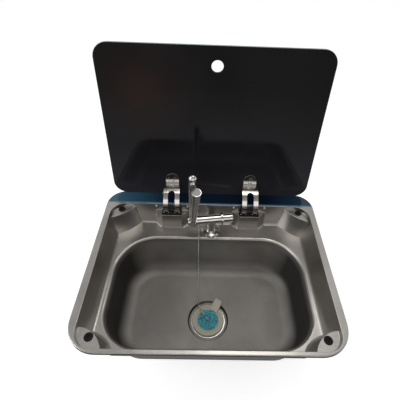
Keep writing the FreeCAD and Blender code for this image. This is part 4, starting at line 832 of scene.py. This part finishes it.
def slot_frame(x):
    """A rubber frame with a slanted mouth that follows the arm's curve."""
    part = bmesh.new()
    low_out, low_in = [corner_ring(part, x, *outline) for outline in FRAME_LOW]
    high_out, high_in = [corner_ring(part, x, *outline) for outline in FRAME_HIGH]
    for low, high in ((low_out, high_out), (high_out, high_in), (high_in, low_in), (low_in, low_out)):
        walls_between(part, low, high)
    upper = [edge for edge in part.edges if all(v.co.z > (FRAME_TOP - 0.1) * MM for v in edge.verts)]
    bmesh.ops.bevel(part, geom=upper, offset=0.5 * MM, segments=2, profile=0.5, affect="EDGES", material=-1)
    return part


def slot_lip(x):
    """A block between the arm's legs, with rounded edges."""
    part = bmesh.new()
    low, high = corner_ring(part, x, *LIP_LOW), corner_ring(part, x, *LIP_HIGH)
    walls_between(part, low, high)
    part.faces.new(reversed(low))
    part.faces.new(high)
    bmesh.ops.bevel(part, geom=part.edges[:], offset=0.3 * MM, segments=2, profile=0.5, affect="EDGES",
                    material=-1)
    return part


for side, x in (("left", -HINGE_X), ("right", HINGE_X)):
    bm = bmesh.new()
    join(bm, slot_frame(x), Matrix.Identity(4))
    show(f"slot_frame_{side}", bm, "sink", "seal_rubber", smooth=False)
    lip = show(f"slot_lip_{side}", slot_lip(x), "sink", "seal_rubber")
    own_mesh(lip)

# %% [markdown]
# ## Films
#
# The rear of the rim still has its protective film, and the plug has a scrap of the same under its eye. Both
# are thin sheets whose height comes from smooth noise, so they crease where a flat sheet would look printed.

# %% The film on the rim
FILM_FRONT, FILM_INSET, RIM_CORNER, RIM_TOP = 127, 1.5, 36, 5
HALF_X, HALF_Y, CORNER = 210 - FILM_INSET, 160 - FILM_INSET, RIM_CORNER - FILM_INSET
COLUMNS, ROWS = 180, 10


def crease(x, y, scale, sharpness):
    """A height from 0 to 1 with narrow ridges, the same on each run."""
    rough = noise.noise(Vector((x * scale, y * scale, 3.7)))
    return max(0.0, 1 - abs(rough) * sharpness)


bm = bmesh.new()
bmesh.ops.create_grid(bm, x_segments=COLUMNS, y_segments=ROWS, size=0.5)
reach_x = HALF_X - CORNER + math.sqrt(CORNER ** 2 - (FILM_FRONT - HALF_Y + CORNER) ** 2)
for vertex in bm.verts:
    x = 2 * reach_x * vertex.co.x
    over = max(0.0, abs(x) - (HALF_X - CORNER))
    rear = HALF_Y - CORNER + math.sqrt(max(0.0, CORNER ** 2 - over ** 2))
    y = FILM_FRONT + (rear - FILM_FRONT) * (vertex.co.y + 0.5)
    lift = 0.2 + 0.35 * crease(x * 0.35, y, 0.09, 7) + 0.1 * noise.noise(Vector((x, y, 0)) * 0.05)
    vertex.co = Vector((x, y, RIM_TOP + max(0.12, lift))) * MM
show("rear_film", bm, "sink", "blue_film", replaces=["rim_film"])

# %% The film on the plug
DRAIN = (0, -48)
DISH_Z = 1000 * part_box("plug_film")[0].z
EYE_GAP, DISC_RADIUS, SPOKES, RINGS = 2.6, 19.5, 96, 22

bm = bmesh.new()
spots = [EYE_GAP + (DISC_RADIUS - EYE_GAP) * k / RINGS for k in range(RINGS + 1)]
line_up = [bm.verts.new((spot * MM, 0, 0)) for spot in spots]
for first, second in zip(line_up, line_up[1:]):
    bm.edges.new((first, second))
bmesh.ops.spin(bm, geom=bm.verts[:] + bm.edges[:], cent=(0, 0, 0), axis=(0, 0, 1), angle=math.tau,
               steps=SPOKES, use_merge=True)
for vertex in bm.verts:
    x, y = vertex.co.x / MM, vertex.co.y / MM
    inner = min(1.0, (math.hypot(x, y) - EYE_GAP) / 3)
    height = 0.12 + inner * (0.75 * crease(x, y, 0.16, 4) + 0.35 * crease(x + 9, y, 0.34, 4))
    vertex.co = Vector((DRAIN[0] + x, DRAIN[1] + y, DISH_Z + height)) * MM
show("plug_film_wrinkled", bm, "plug", "teal_film", replaces=["plug_film"])

# %% The tab on the plug
PLUG_TOP = 1000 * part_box("plug")[1].z
TAB_START, TAB_LENGTH, TAB_WIDTH, TAB_RISE, TAB_TURN, TAB_THICK = 20, 26, 17, 2.6, 61, 0.3

bm = bmesh.new()
bmesh.ops.create_grid(bm, x_segments=12, y_segments=8, size=0.5)
turn = Matrix.Rotation(math.radians(TAB_TURN), 3, "Z")
for vertex in bm.verts:
    out = TAB_START + TAB_LENGTH * (vertex.co.x + 0.5)
    across = TAB_WIDTH * vertex.co.y * (1 - 0.25 * max(0.0, vertex.co.x))
    height = 0.3 + TAB_RISE * ((out - TAB_START) / TAB_LENGTH) ** 2
    height += 0.25 * noise.noise(Vector((out, across, 1)) * 0.2)
    flat = turn @ Vector((out, across, 0))
    vertex.co = Vector((DRAIN[0] + flat.x, DRAIN[1] + flat.y, PLUG_TOP + height)) * MM
tab = show("plug_tab", bm, "plug", "plug_cream")
thick = tab.modifiers.new("thickness", "SOLIDIFY")
thick.thickness, thick.offset = TAB_THICK * MM, 1

# %% Rings at the chain's ends
RING_RADIUS, RING_WIRE = 1.5, 0.3
RING_ENDS = {
    "chain_top_ring": ("sink", at(-22.3, 95.9, -22.4), "Y"),
    "chain_plug_ring": ("plug", at(-1.9, -46.6, -130.6), "X"),
}


def ring_form(radius, section, segments=20, around=8):
    """A closed ring about Z."""
    turns = [math.tau * k / around for k in range(around + 1)]
    return turned_form([(radius + section * math.cos(a), section * math.sin(a)) for a in turns], segments)


for name, (body, place, axis) in RING_ENDS.items():
    bm = bmesh.new()
    join(bm, ring_form(RING_RADIUS, RING_WIRE), place @ Matrix.Rotation(math.pi / 2, 4, axis))
    show(name, bm, body, "tap_chrome")
